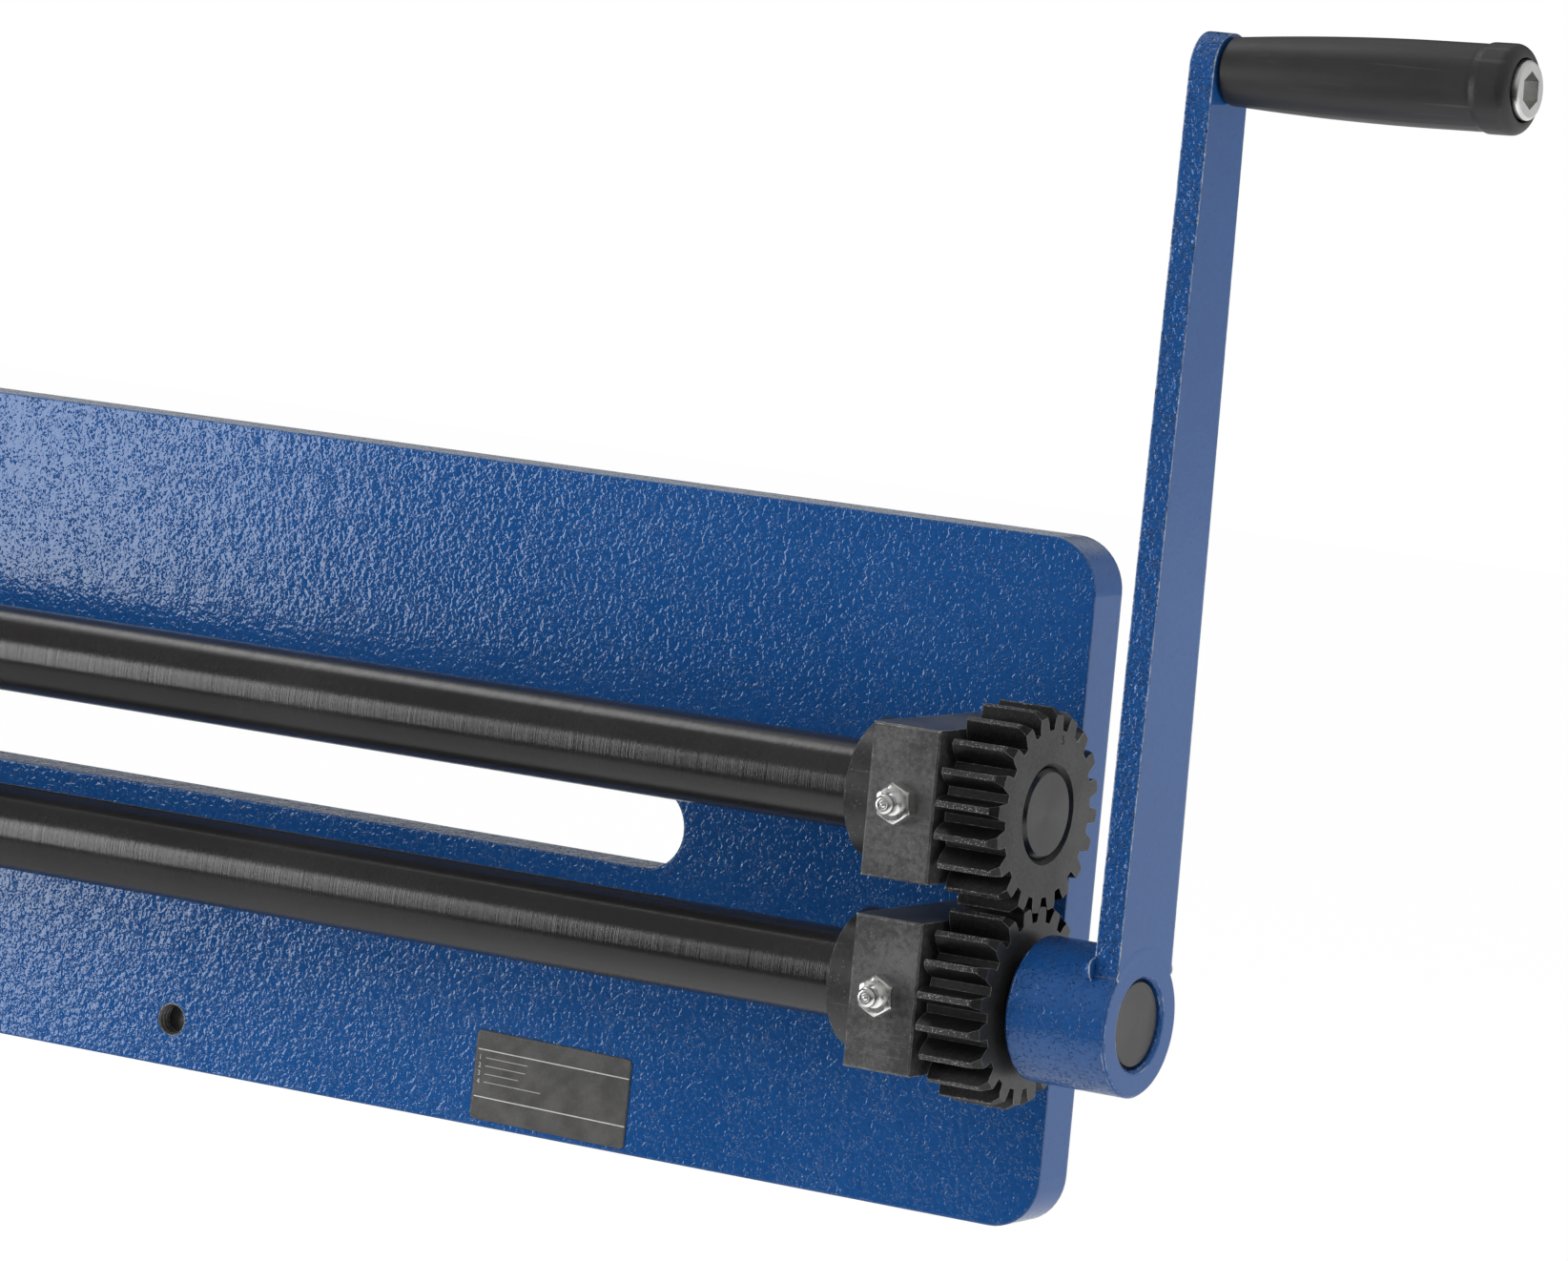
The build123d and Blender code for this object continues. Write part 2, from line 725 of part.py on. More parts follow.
def collar(z):
    """Set collar inboard of a rear block."""
    end = collar_x + collar_width
    ring = along_x(collar_diameter / 2, collar_x, end, shaft_y, z)
    ring = chamfer(ring.edges().filter_by(GeomType.CIRCLE), collar_edge)
    ring -= along_x(shaft_radius + slip_fit, collar_x - cut_past, end + cut_past, shaft_y, z)
    return ring - set_screw_hole(collar_x + collar_width / 2, z, 0)


# ---------------------------------------------------------------------------- gears


def involute_point(base_radius, radius, turn):
    """Point of the involute of the base circle at a radius, its root turned by an angle."""
    roll_angle = math.sqrt(max((radius / base_radius) ** 2 - 1, 0))
    angle = turn + roll_angle - math.atan(roll_angle)
    return (radius * math.cos(angle), radius * math.sin(angle))


def gear_tooth():
    """Outline of one tooth, its middle on +X, with involute flanks and a rounded root."""
    pitch_radius = gear_module * gear_teeth / 2
    pressure = math.radians(gear_pressure_angle)
    base_radius = pitch_radius * math.cos(pressure)
    tip_radius = pitch_radius + gear_module
    root_radius = pitch_radius - gear_dedendum * gear_module
    half_tooth = math.pi / (2 * gear_teeth) - gear_flank_thinning / 2 / pitch_radius
    start = -(half_tooth + math.tan(pressure) - pressure)
    flank = []
    for step in range(gear_flank_steps + 1):
        radius = base_radius + (tip_radius - base_radius) * step / gear_flank_steps
        flank.append(involute_point(base_radius, radius, start))
    mirrored = [(x, -y) for x, y in reversed(flank)]
    inner = root_radius - gear_root_overlap
    spread = start * gear_root_spread
    foot = (inner * math.cos(spread), inner * math.sin(spread))
    low = Line(foot, flank[0]) + Spline(*flank)
    tip = ThreePointArc(flank[-1], (tip_radius, 0), mirrored[0])
    high = Spline(*mirrored) + Line(mirrored[-1], (foot[0], -foot[1]))
    return make_face(low + tip + high + Line((foot[0], -foot[1]), foot))


def spur_gear(z, turn, screw_turn):
    """Gear with a short boss towards its block; turn sets where its first tooth points."""
    root_radius = gear_module * (gear_teeth / 2 - gear_dedendum)
    tip_radius = gear_module * (gear_teeth / 2 + 1)
    tooth = gear_tooth()
    outline = Circle(root_radius)
    for k in range(gear_teeth):
        outline += Rot(0, 0, k * 360 / gear_teeth) * tooth
    teeth = Pos(gear_x, shaft_y, z) * Rot(0, 90, 0) * Rot(0, 0, turn) * extrude(outline, gear_width)
    bore = shaft_radius + slip_fit
    blank = turned(
        [
            (gear_x - gear_boss_length, bore),
            (gear_x - gear_boss_length, gear_boss_diameter / 2),
            (gear_x, gear_boss_diameter / 2),
            (gear_x, tip_radius + cut_past),
            (gear_end_x - gear_tip_chamfer_run, tip_radius + cut_past),
            (gear_end_x - gear_tip_chamfer_run, tip_radius),
            (gear_end_x, tip_radius - gear_tip_chamfer),
            (gear_end_x, bore + gear_bore_chamfer),
            (gear_end_x - gear_bore_chamfer, bore),
        ],
        shaft_y,
        z,
    )
    boss_end = gear_x + cut_past
    boss = along_x(gear_boss_diameter / 2, gear_x - gear_boss_length, boss_end, shaft_y, z)
    gear = (teeth + boss) & blank
    return gear - set_screw_hole(gear_x + gear_width / 2, z, screw_turn)


def gap_turn(first_tooth):
    """Turn of the tooth gap that lies nearest the plate, for the gear's set screw."""
    pitch = 360 / gear_teeth
    towards_plate = 90
    gap = first_tooth + pitch / 2
    steps = round((towards_plate - gap) / pitch)
    return gap + steps * pitch - towards_plate


# ---------------------------------------------------------------------------- crank


def crank_hub():
    """Round hub, bored for the lower shaft, with its face countersunk."""
    radius = hub_diameter / 2
    bore = shaft_radius + slip_fit
    hub = turned(
        [
            (hub_x, bore),
            (hub_x, radius - hub_edge),
            (hub_x + hub_edge, radius),
            (hub_end_x - hub_edge / 2, radius),
            (hub_end_x, radius - hub_edge / 2),
            (hub_end_x, bore + hub_bore_chamfer),
            (hub_end_x - hub_bore_chamfer, bore),
        ],
        shaft_y,
        lower_z,
    )
    return hub - set_screw_hole(hub_x + hub_length / 2, lower_z, 0)


def grip_place():
    """Place on the arm's outer face at the grip screw, with +X along the leaning screw."""
    return Pos(hub_end_x, shaft_y, grip_z) * Rot(0, -screw_lean, 0)


def crank_arm():
    """Tapered flat bar, coped to sit on the hub and rounded at the grip."""
    tip = arm_tip_width / 2
    root = arm_root_width / 2
    lean = math.asin((root - tip) / arm_length)
    side = (tip * math.cos(lean), arm_length + tip * math.sin(lean))
    outline = make_face(
        Line((-root, 0), (root, 0))
        + Line((root, 0), side)
        + ThreePointArc(side, (0, arm_length + tip), (-side[0], side[1]))
        + Line((-side[0], side[1]), (-root, 0))
    )
    bar = extrude(outline, arm_thickness)
    inner_face = Plane((hub_end_x - arm_thickness, shaft_y, lower_z), x_dir=(0, 1, 0), z_dir=(1, 0, 0))
    bar = inner_face * bar
    bar -= along_x(hub_diameter / 2, hub_x - cut_past, hub_end_x + cut_past, shaft_y, lower_z)
    thread = cap_thread_diameter / 2 + thread_fit
    bar -= grip_place() * along_x(thread, -arm_thickness * 2, arm_thickness, 0, 0)
    return bar


def crank_weld():
    """Fillet weld between the hub and the arm's inner face."""
    radius = hub_diameter / 2
    face_x = hub_end_x - arm_thickness
    section = make_face(
        Line((face_x, radius), (face_x, radius + weld_leg))
        + ThreePointArc(
            (face_x, radius + weld_leg),
            (face_x - weld_leg * weld_fullness, radius + weld_leg * weld_fullness),
            (face_x - weld_leg, radius),
        )
        + Line((face_x - weld_leg, radius), (face_x, radius))
    )
    bead = revolve(section, Axis.X, 2 * weld_spread)
    # The section starts on +Y and turns towards +Z, so this sets the bead's middle on top.
    return Pos(0, shaft_y, lower_z) * Rot(90 - weld_spread, 0, 0) * bead


def grip_screw():
    """Cap screw through the grip, screwed into the arm."""
    head_end = grip_gap + grip_length + head_proud
    head_start = head_end - cap_head_height
    screw = along_x(cap_thread_diameter / 2, grip_screw_recess - arm_thickness, 0, 0, 0)
    screw += along_x(cap_shank_diameter / 2, grip_gap / 2, head_start, 0, 0)
    screw += along_x(cap_thread_diameter / 2, 0, grip_gap, 0, 0)
    head = along_x(cap_head_diameter / 2, head_start, head_end, 0, 0)
    rim = head.edges().filter_by(GeomType.CIRCLE).sort_by(Axis.X)[-1]
    head = fillet(rim, cap_head_edge)
    screw += head
    screw -= Pos(head_end, 0, 0) * Rot(0, 90, 0) * socket(cap_socket_flats, cap_socket_depth)
    return grip_place() * screw


def grip():
    """Turned plastic handle that swells towards its lipped end."""
    start = grip_gap
    end = grip_gap + grip_length
    bore = cap_shank_diameter / 2 + turn_fit
    recess = cap_head_diameter / 2 + cap_head_gap
    recess_x = end + head_proud - cap_head_height - turn_fit
    lip_start = start + grip_lip_at - grip_lip_run
    swell = Spline(
        (start + grip_root_chamfer, grip_root_radius),
        (start + grip_waist_at, grip_waist_radius),
        (start + grip_swell_at, grip_swell_radius),
        (lip_start, grip_swell_radius),
    )
    shoulder = end - grip_end_round
    face_radius = grip_lip_radius - grip_end_round
    diagonal = grip_end_round * math.sqrt(0.5)
    lip = Polyline(
        (lip_start, grip_swell_radius),
        (start + grip_lip_at, grip_lip_radius),
        (shoulder, grip_lip_radius),
    )
    rounding = ThreePointArc(
        (shoulder, grip_lip_radius),
        (shoulder + diagonal, face_radius + diagonal),
        (end, face_radius),
    )
    inside = Polyline(
        (end, face_radius),
        (end, recess),
        (recess_x, recess),
        (recess_x, bore),
        (start, bore),
        (start, grip_root_radius - grip_root_chamfer),
        (start + grip_root_chamfer, grip_root_radius),
    )
    handle = revolve(make_face(swell + lip + rounding + inside), Axis.X)
    return grip_place() * handle


# ---------------------------------------------------------------------------- assembly

upper_gear_turn = -gear_phase
lower_gear_turn = 180 + gear_phase - 180 / gear_teeth
upper_gap = gap_turn(upper_gear_turn)
lower_gap = gap_turn(lower_gear_turn)
collar_screw_x = collar_x + collar_width / 2
gear_screw_x = gear_x + gear_width / 2
gear_screw_radius = gear_module * (gear_teeth / 2 - gear_dedendum)

nodes = {
    "frame_plate": frame_plate(),
    "foot_bar": foot_bar(),
    "foot_screws": foot_screws(),
    "rear_upper_block": bearing_block(rear_block_x, upper_z, plate_front_y, rear_bolts),
    "rear_lower_block": bearing_block(rear_block_x, lower_z, plate_front_y, rear_bolts),
    "front_lower_block": bearing_block(front_block_x, lower_z, plate_front_y, front_lower_bolts),
    "rear_upper_bush": bush(rear_block_x, upper_z, eased_fit),
    "rear_lower_bush": bush(rear_block_x, lower_z, turn_fit),
    "front_lower_bush": bush(front_block_x, lower_z, turn_fit),
    "adjuster_block": adjuster_block(),
    "block_bolts": plate_bolts(bolt_places(), plate_back_y),
    "block_washers": [washer(x, z, plate_back_y) for x, z in bolt_places()],
    "frame_nipples": [
        nipple(rear_block_x, upper_z),
        nipple(rear_block_x, lower_z),
        nipple(front_block_x, lower_z),
    ],
    "front_upper_block": front_upper_block(),
    "front_upper_bush": bush(front_block_x, upper_z, turn_fit),
    "carriage_bolts": plate_bolts(carriage_bolt_places(), plate_back_y + body_gap),
    "carriage_washers": [washer(x, z, plate_back_y + body_gap) for x, z in carriage_bolt_places()],
    "carriage_nipple": nipple(front_block_x, upper_z),
    "screw_retainer": screw_retainer(),
    "retainer_screws": retainer_screws(),
    "thrust_pad": thrust_pad(),
    "adjusting_screw": adjusting_screw(),
    "tee_bar": tee_bar(),
    "tee_knobs": tee_knobs(),
    "upper_shaft": shaft(upper_z, gear_end_x),
    "upper_gear": spur_gear(upper_z, upper_gear_turn, upper_gap),
    "upper_collar": collar(upper_z),
    "upper_set_screws": [
        placed_set_screw(collar_screw_x, upper_z, 0, collar_diameter / 2),
        placed_set_screw(gear_screw_x, upper_z, upper_gap, gear_screw_radius),
    ],
    "upper_die": upper_die(),
    "upper_die_key": die_key(upper_z),
    "upper_die_washer": die_washer(upper_z),
    "upper_die_nut": die_nut(upper_z),
    "lower_shaft": shaft(lower_z, hub_end_x - hub_recess),
    "lower_gear": spur_gear(lower_z, lower_gear_turn, lower_gap),
    "lower_collar": collar(lower_z),
    "lower_set_screws": [
        placed_set_screw(collar_screw_x, lower_z, 0, collar_diameter / 2),
        placed_set_screw(gear_screw_x, lower_z, lower_gap, gear_screw_radius),
        placed_set_screw(hub_x + hub_length / 2, lower_z, 0, hub_diameter / 2),
    ],
    "lower_die": lower_die(),
    "lower_die_key": die_key(lower_z),
    "lower_die_washer": die_washer(lower_z),
    "lower_die_nut": die_nut(lower_z),
    "crank_hub": crank_hub(),
    "crank_arm": crank_arm(),
    "crank_weld": crank_weld(),
    "grip_screw": grip_screw(),
    "grip": grip(),
}

os.makedirs("parts", exist_ok=True)
for name, shape in nodes.items():
    if isinstance(shape, list):
        shape = Compound(children=shape)
    export_step(shape, f"parts/{name}.step")
print(len(nodes), "nodes")
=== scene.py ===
# %% [markdown]
# # A hand cranked bead roller
# This lesson dresses a finished CAD model of a workshop machine: a thick plate with a long throat,
# two shafts geared together, and a crank. The CAD solids already have the right shape, so most of
# the work here is in the finishes: hammered blue enamel, black oxide on steel, bright zinc and
# moulded plastic. A few small things are made as new surfaces because they are too fine for CAD.
# We start by loading the model.

# %% Load the frame
import math
import bmesh
import bpy
import numpy as np
from mathutils import Matrix, Vector


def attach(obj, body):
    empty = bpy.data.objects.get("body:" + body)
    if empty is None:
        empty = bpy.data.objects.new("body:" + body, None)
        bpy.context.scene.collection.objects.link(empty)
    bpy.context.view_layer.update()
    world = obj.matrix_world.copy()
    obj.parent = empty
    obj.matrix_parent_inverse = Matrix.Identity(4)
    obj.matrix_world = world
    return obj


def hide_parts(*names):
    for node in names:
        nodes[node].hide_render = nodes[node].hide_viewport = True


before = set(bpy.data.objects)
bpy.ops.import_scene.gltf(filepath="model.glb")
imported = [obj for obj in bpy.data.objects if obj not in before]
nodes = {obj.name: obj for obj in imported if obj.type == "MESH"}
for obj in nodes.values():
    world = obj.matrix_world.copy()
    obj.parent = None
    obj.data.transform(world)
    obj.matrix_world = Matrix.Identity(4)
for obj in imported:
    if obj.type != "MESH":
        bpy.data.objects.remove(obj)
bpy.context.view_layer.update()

# %% [markdown]
# ## The places we need
# The CAD is in millimetres and Blender in metres, so every length below is written in metres.
# The shafts run along X. New pieces are placed from the same few lines and planes as the solids.

# %% Places of the main lines and faces
SHAFT_Y = -0.04475
LOWER_Z = 0.0775
UPPER_Z = 0.1375
PLATE_FRONT_Y = -0.00875
BLOCK_FRONT_Y = -0.07355
REAR_BLOCK_X = 0.364
FRONT_BLOCK_X = -0.181
GEAR_END_X = 0.40035
HUB_END_X = 0.43935
GRIP_Z = 0.3706
SCREW_LEAN = math.radians(1.65)
print("shaft spacing (mm):", round((UPPER_Z - LOWER_Z) * 1000, 1))

# %% [markdown]
# ## The camera
# The photograph was taken with a long lens from the operator's side, 31 degrees towards the crank
# and a little above it, with the camera rolled by 5 degrees. A long lens far away keeps the edges
# nearly parallel. We build its axes from those three angles: forward, then right and up,
# turned together by the roll.

# %% Camera
def add(name, data):
    """New object in the scene."""
    made = bpy.data.objects.new(name, data)
    bpy.context.scene.collection.objects.link(made)
    return made


AZIMUTH = math.radians(31.036)
ELEVATION = math.radians(5.334)
ROLL = math.radians(5.21)
LENS, SENSOR_WIDTH = 165.09, 36.0  # mm
CAMERA_PLACE = (1.46444, -1.98070, 0.39294)
forward = Vector((
    -math.sin(AZIMUTH) * math.cos(ELEVATION),
    math.cos(AZIMUTH) * math.cos(ELEVATION),
    -math.sin(ELEVATION),
))
level_right = Vector((math.cos(AZIMUTH), math.sin(AZIMUTH), 0))
level_up = level_right.cross(forward)
right = level_right * math.cos(ROLL) + level_up * math.sin(ROLL)
up = level_up * math.cos(ROLL) - level_right * math.sin(ROLL)

camera_data = bpy.data.cameras.new("camera")
camera_data.sensor_fit = "HORIZONTAL"
camera_data.sensor_width = SENSOR_WIDTH
camera_data.lens = LENS
camera_data.clip_end = 50
camera = add("camera", camera_data)
axes = Matrix((right, up, -forward)).transposed().to_4x4()
camera.matrix_world = Matrix.Translation(CAMERA_PLACE) @ axes
bpy.context.scene.camera = camera
bpy.context.scene.view_settings.view_transform = "Standard"
print("lens (mm):", camera_data.lens)

# %% [markdown]
# ## A short way to write shader nodes
# A material is a graph. Written with bpy alone, each node takes five lines, so this small class
# keeps the graph readable: put() makes a node, sets its plain values and links the sockets that
# it is given. calc() is a Math node, ramp() a smooth step between two values, and noise(), parts()
# and facing() are the nodes that nearly every finish needs.

# %% Graph helper
class Graph:
    """A node tree with short calls. Values that are sockets are linked, others are set."""

    def __init__(self, tree):
        self.tree = tree

    def put(self, kind, inputs=None, **settings):
        node = self.tree.nodes.new("ShaderNode" + kind)
        for key, value in settings.items():
            setattr(node, key, value)
        for key, value in (inputs or {}).items():
            self.feed(value, node.inputs[key])
        return node

    def feed(self, value, socket):
        if isinstance(value, bpy.types.NodeSocket):
            self.tree.links.new(value, socket)
        else:
            socket.default_value = value

    def calc(self, operation, a, b=0.0, clamp=False):
        node = self.put("Math", {0: a, 1: b}, operation=operation, use_clamp=clamp)
        return node.outputs[0]

    def times(self, a, b):
        return self.calc("MULTIPLY", a, b)

    def ramp(self, value, low, high, to_low=0.0, to_high=1.0):
        """Smooth step: to_low below low, to_high above high."""
        places = {"Value": value, "From Min": low, "From Max": high,
                  "To Min": to_low, "To Max": to_high}
        return self.put("MapRange", places, interpolation_type="SMOOTHSTEP").outputs[0]

    def mix(self, mask, first, second):
        """Colour that goes from first to second as the mask goes from 0 to 1."""
        node = self.put("Mix", {0: mask, 6: first, 7: second}, data_type="RGBA")
        return node.outputs[2]

    def place(self):
        return self.put("TexCoord").outputs["Object"]

    def parts(self, vector):
        """X, Y and Z of a vector."""
        return self.put("SeparateXYZ", {0: vector}).outputs

    def facing(self):
        """X, Y and Z of the normal in the piece's own axes, which turn with it."""
        return self.parts(self.put("TexCoord").outputs["Normal"])

    def noise(self, scale, detail=2.0, roughness=0.5, at=None, output="Fac", **settings):
        """Noise over the piece, or over another vector given with at."""
        given = {"Vector": self.place() if at is None else at, "Scale": scale,
                 "Detail": detail, "Roughness": roughness}
        return self.put("TexNoise", given, **settings).outputs[output]


def shared_group(name, numbers, build):
    """Node group with named number inputs. build(graph, inputs) returns {output name: socket}."""
    tree = bpy.data.node_groups.new(name, "ShaderNodeTree")
    for label, value in numbers.items():
        socket = tree.interface.new_socket(label, in_out="INPUT", socket_type="NodeSocketFloat")
        socket.default_value = value
    graph = Graph(tree)
    entry = tree.nodes.new("NodeGroupInput")
    made = build(graph, entry.outputs)
    for label in made:
        tree.interface.new_socket(label, in_out="OUTPUT", socket_type="NodeSocketFloat")
    leave = tree.nodes.new("NodeGroupOutput")
    for label, socket in made.items():
        tree.links.new(socket, leave.inputs[label])
    return tree


def use_group(graph, tree, **numbers):
    """Places a shared group in a material. Underscores in a name stand for spaces."""
    node = graph.tree.nodes.new("ShaderNodeGroup")
    node.node_tree = tree
    for label, value in numbers.items():
        graph.feed(value, node.inputs[label.replace("_", " ")])
    return node.outputs


def grey(level):
    return (level, level, level, 1)


print("graph helper ready")

# %% [markdown]
# ## Effects that several finishes share
# ** Edge wear and highlight.** A handled machine is worn along its edges, and its edges catch the light,
# so this mask paints both: real wear and a painted edge highlight. The Bevel node gives the normal
# that a rounded edge would have, and where it differs from the true normal there is an edge. Noise
# breaks the line so that it isn't even.
#
# **Patches.** Black oxide and paint are never one tone. Two sizes of noise, one within the other,
# give slow clouds and fine mottling.

# %% Shared groups: edge wear and patches
BEVEL_SAMPLES = 6


def build_edge_wear_and_highlight(g, given):
    """Mask = how far the rounded normal turns from the true one, broken up by noise."""
    rounded = g.put("Bevel", {"Radius": given["Radius"]}, samples=BEVEL_SAMPLES).outputs[0]
    true = g.put("NewGeometry").outputs["Normal"]
    same = g.put("VectorMath", {0: rounded, 1: true}, operation="DOT_PRODUCT").outputs["Value"]
    turned = g.calc("SUBTRACT", 1.0, same)
    needed = g.ramp(g.noise(given["Grain"], 4.0, 0.7), 0.30, 0.72, 0.26, 0.004)
    sharp = g.calc("MULTIPLY", g.calc("SUBTRACT", turned, needed), 14.0, clamp=True)
    return {"Mask": g.calc("MULTIPLY", sharp, given["Amount"], clamp=True)}


def build_patches(g, given):
    """Value near 0.5: clouds plus a share of fine mottling."""
    wide = g.noise(given["Cloud scale"], 3.0)
    fine = g.noise(given["Fine scale"], 6.0, 0.65)
    share = given["Fine share"]
    kept = g.times(wide, g.calc("SUBTRACT", 1.0, share))
    return {"Value": g.calc("ADD", kept, g.times(fine, share))}


EDGE_WEAR_AND_HIGHLIGHT = shared_group("edge wear and highlight", {"Radius": 0.0006, "Amount": 1.0, "Grain": 220.0},
                         build_edge_wear_and_highlight)
PATCHES = shared_group("patches", {"Cloud scale": 18.0, "Fine scale": 260.0, "Fine share": 0.4},
                       build_patches)


def edge_wear_and_highlight(g, radius, amount, grain):
    return use_group(g, EDGE_WEAR_AND_HIGHLIGHT, Radius=radius, Amount=amount, Grain=grain)["Mask"]


def patches(g, wide, fine, share):
    return use_group(g, PATCHES, Cloud_scale=wide, Fine_scale=fine, Fine_share=share)["Value"]


print("groups:", EDGE_WEAR_AND_HIGHLIGHT.name, "and", PATCHES.name)

# %% [markdown]
# **Orange peel.** Thick enamel on rough steel dries into soft shallow waves about 2 mm across.
# A noise whose place is pushed about by a second noise gives them. Here and there a grain under
# the paint makes a small steep pimple: a cell of a Voronoi pattern, picked by its own random
# colour, and more often where a wide slow noise is high. The waves break up the mirrored lamp, and
# the pimples sparkle where no lamp is mirrored.
#
# **Lathe lines.** Turned steel has fine rings round its axis. Along the bar they depend only on X,
# and on an end face only on the distance from the axis, so noise read at (X, distance) draws both.
#
# **Scratches.** Long thin marks: noise stretched some fortyfold, in two directions that cross.
#
# **Flecks.** Tiny bright grains where black oxide has rubbed through: cells of a Voronoi pattern
# picked at random by their own colour.

# %% Shared groups: orange peel, lathe lines, scratches and flecks
def build_orange_peel(g, given):
    """Height = warped noise, plus a wide slow noise, plus sparse pimples. Hollow = how deep in a
    wave's trough."""
    place = g.place()
    push = g.noise(given["Scale"], 1.0, at=place, output="Color")
    centred = g.put("VectorMath", {0: push, 1: (0.5, 0.5, 0.5)}, operation="SUBTRACT").outputs[0]
    shift = g.put("VectorMath", {0: centred, "Scale": given["Wander"]},
                  operation="SCALE").outputs[0]
    moved = g.put("VectorMath", {0: place, 1: shift}, operation="ADD").outputs[0]
    waves = g.noise(given["Scale"], 1.2, at=moved)
    wide = g.noise(g.times(given["Scale"], 0.3), 1.0, at=place)
    cells = g.put("TexVoronoi", {"Vector": moved, "Scale": g.times(given["Scale"], 1.9)})
    chance = g.put("SeparateColor", {0: cells.outputs["Color"]}).outputs[0]
    share = g.ramp(wide, 0.36, 0.66, 0.26, 0.70)
    picked = g.calc("LESS_THAN", chance, share)
    dome = g.times(g.ramp(cells.outputs["Distance"], 0.52, 0.0), picked)
    wave_part = g.calc("ADD", g.ramp(waves, 0.28, 0.72, 0.0, 0.72), g.times(wide, 1.5))
    height = g.calc("ADD", wave_part, g.times(dome, given["Pimples"]))
    return {"Height": height, "Hollow": g.ramp(waves, 0.44, 0.30)}


def build_lathe_lines(g, given):
    """Height = noise of X and of the distance from the axis at (Axis Y, Axis Z)."""
    split = g.parts(g.place())
    dy = g.calc("SUBTRACT", split[1], given["Axis Y"])
    dz = g.calc("SUBTRACT", split[2], given["Axis Z"])
    reach = g.calc("SQRT", g.calc("ADD", g.times(dy, dy), g.times(dz, dz)))
    along, out = g.times(split[0], given["Lines"]), g.times(reach, given["Lines"])
    both = g.put("CombineXYZ", {0: along, 1: out}).outputs[0]
    rings = g.noise(1.0, 3.0, at=both, noise_dimensions="2D")
    return {"Height": rings, "Distance": reach}


def build_scratches(g, given):
    """Mask = thin lines along two leaning directions, only where a slow noise lets them."""
    masks = []
    for turn in ((0.3, 0.5, 0.2), (-0.6, 1.3, 0.9)):
        stretched = g.put("Mapping", {"Vector": g.place(), "Rotation": turn,
                                      "Scale": (40.0, 1500.0, 1500.0)}).outputs[0]
        masks.append(g.ramp(g.noise(given["Scale"], at=stretched), 0.68, 0.74))
    return {"Mask": g.times(g.calc("MAXIMUM", *masks), g.ramp(g.noise(60.0), 0.45, 0.6))}


def build_flecks(g, given):
    """Mask = cells whose random value passes the share, round and soft at the rim."""
    cells = g.put("TexVoronoi", {"Vector": g.place(), "Scale": given["Scale"]})
    chance = g.put("SeparateColor", {0: cells.outputs["Color"]}).outputs[0]
    picked = g.calc("LESS_THAN", chance, given["Share"])
    return {"Mask": g.times(picked, g.ramp(cells.outputs["Distance"], 0.42, 0.12))}


ORANGE_PEEL = shared_group("orange peel", {"Scale": 330.0, "Wander": 0.0018, "Pimples": 1.0},
                           build_orange_peel)
LATHE_LINES = shared_group("lathe lines", {"Axis Y": SHAFT_Y, "Axis Z": LOWER_Z, "Lines": 2500.0},
                           build_lathe_lines)
SCRATCHES = shared_group("scratches", {"Scale": 1.0}, build_scratches)
FLECKS = shared_group("flecks", {"Scale": 1400.0, "Share": 0.2}, build_flecks)
print("groups:", ORANGE_PEEL.name, LATHE_LINES.name, SCRATCHES.name, FLECKS.name)

# %% [markdown]
# ## Materials
# Each finish is one Principled shader. A number that is the same all over the surface is set on
# the shader itself, and only what varies comes through the graph.

# %% Start of a material
def new_material(name, **fixed):
    """Material with a Principled shader. fixed holds the shader's plain values."""
    material = bpy.data.materials.new(name)
    material.use_nodes = True
    shader = material.node_tree.nodes["Principled BSDF"]
    for label, value in fixed.items():
        shader.inputs[label.replace("_", " ")].default_value = value
    return material, Graph(material.node_tree), shader.inputs


def bump(g, height, distance, strength=1.0, normal=None):
    """Normal of a surface raised by height times distance (metres)."""
    given = {"Height": height, "Distance": distance, "Strength": strength}
    if normal is not None:
        given["Normal"] = normal
    return g.put("Bump", given).outputs[0]


print("material helpers ready")

# %% [markdown]
# ### Hammered blue enamel
# The frame and the crank are dipped in thick gloss enamel. It is a deep blue that goes pale only
# where it mirrors a lamp, so its colour stays dark and its gloss does the rest. The orange peel is
# strong on rolled faces and nearly gone on the sawn faces at the ends, which look along X. The
# Normal output of Texture Coordinate turns with the piece, so the crank keeps its smooth faces
# smooth at every turn. Along the edges a Bevel node rounds the shading, as a coat of paint does,
# and there a paler colour paints both chipped paint and a painted edge highlight. The troughs of
# the orange peel are painted darker, as painted shade, and the plate's upward faces are painted
# paler grey in patches, as painted light from above. The crank is handled more, so it has more of
# these paler edges, but not where paint runs over the joint of arm and hub.

# %% Enamel
SIDE_PEEL = 0.00001
JOINT_HALF_WIDTH, JOINT_BOTTOM, JOINT_TOP = 0.0165, LOWER_Z + 0.008, LOWER_Z + 0.030
ARM_FOOT = (LOWER_Z + 0.017, LOWER_Z + 0.021)


def flush_joint(g, split, facing_x):
    """Mask of the crank's outer face where the arm meets the hub: paint runs over that joint."""
    off_axis = g.calc("ABSOLUTE", g.calc("SUBTRACT", split[1], SHAFT_Y))
    narrow = g.calc("LESS_THAN", off_axis, JOINT_HALF_WIDTH)
    above = g.calc("GREATER_THAN", split[2], JOINT_BOTTOM)
    below = g.calc("LESS_THAN", split[2], JOINT_TOP)
    outer = g.calc("GREATER_THAN", facing_x, 0.9)
    return g.times(g.times(narrow, outer), g.times(above, below))


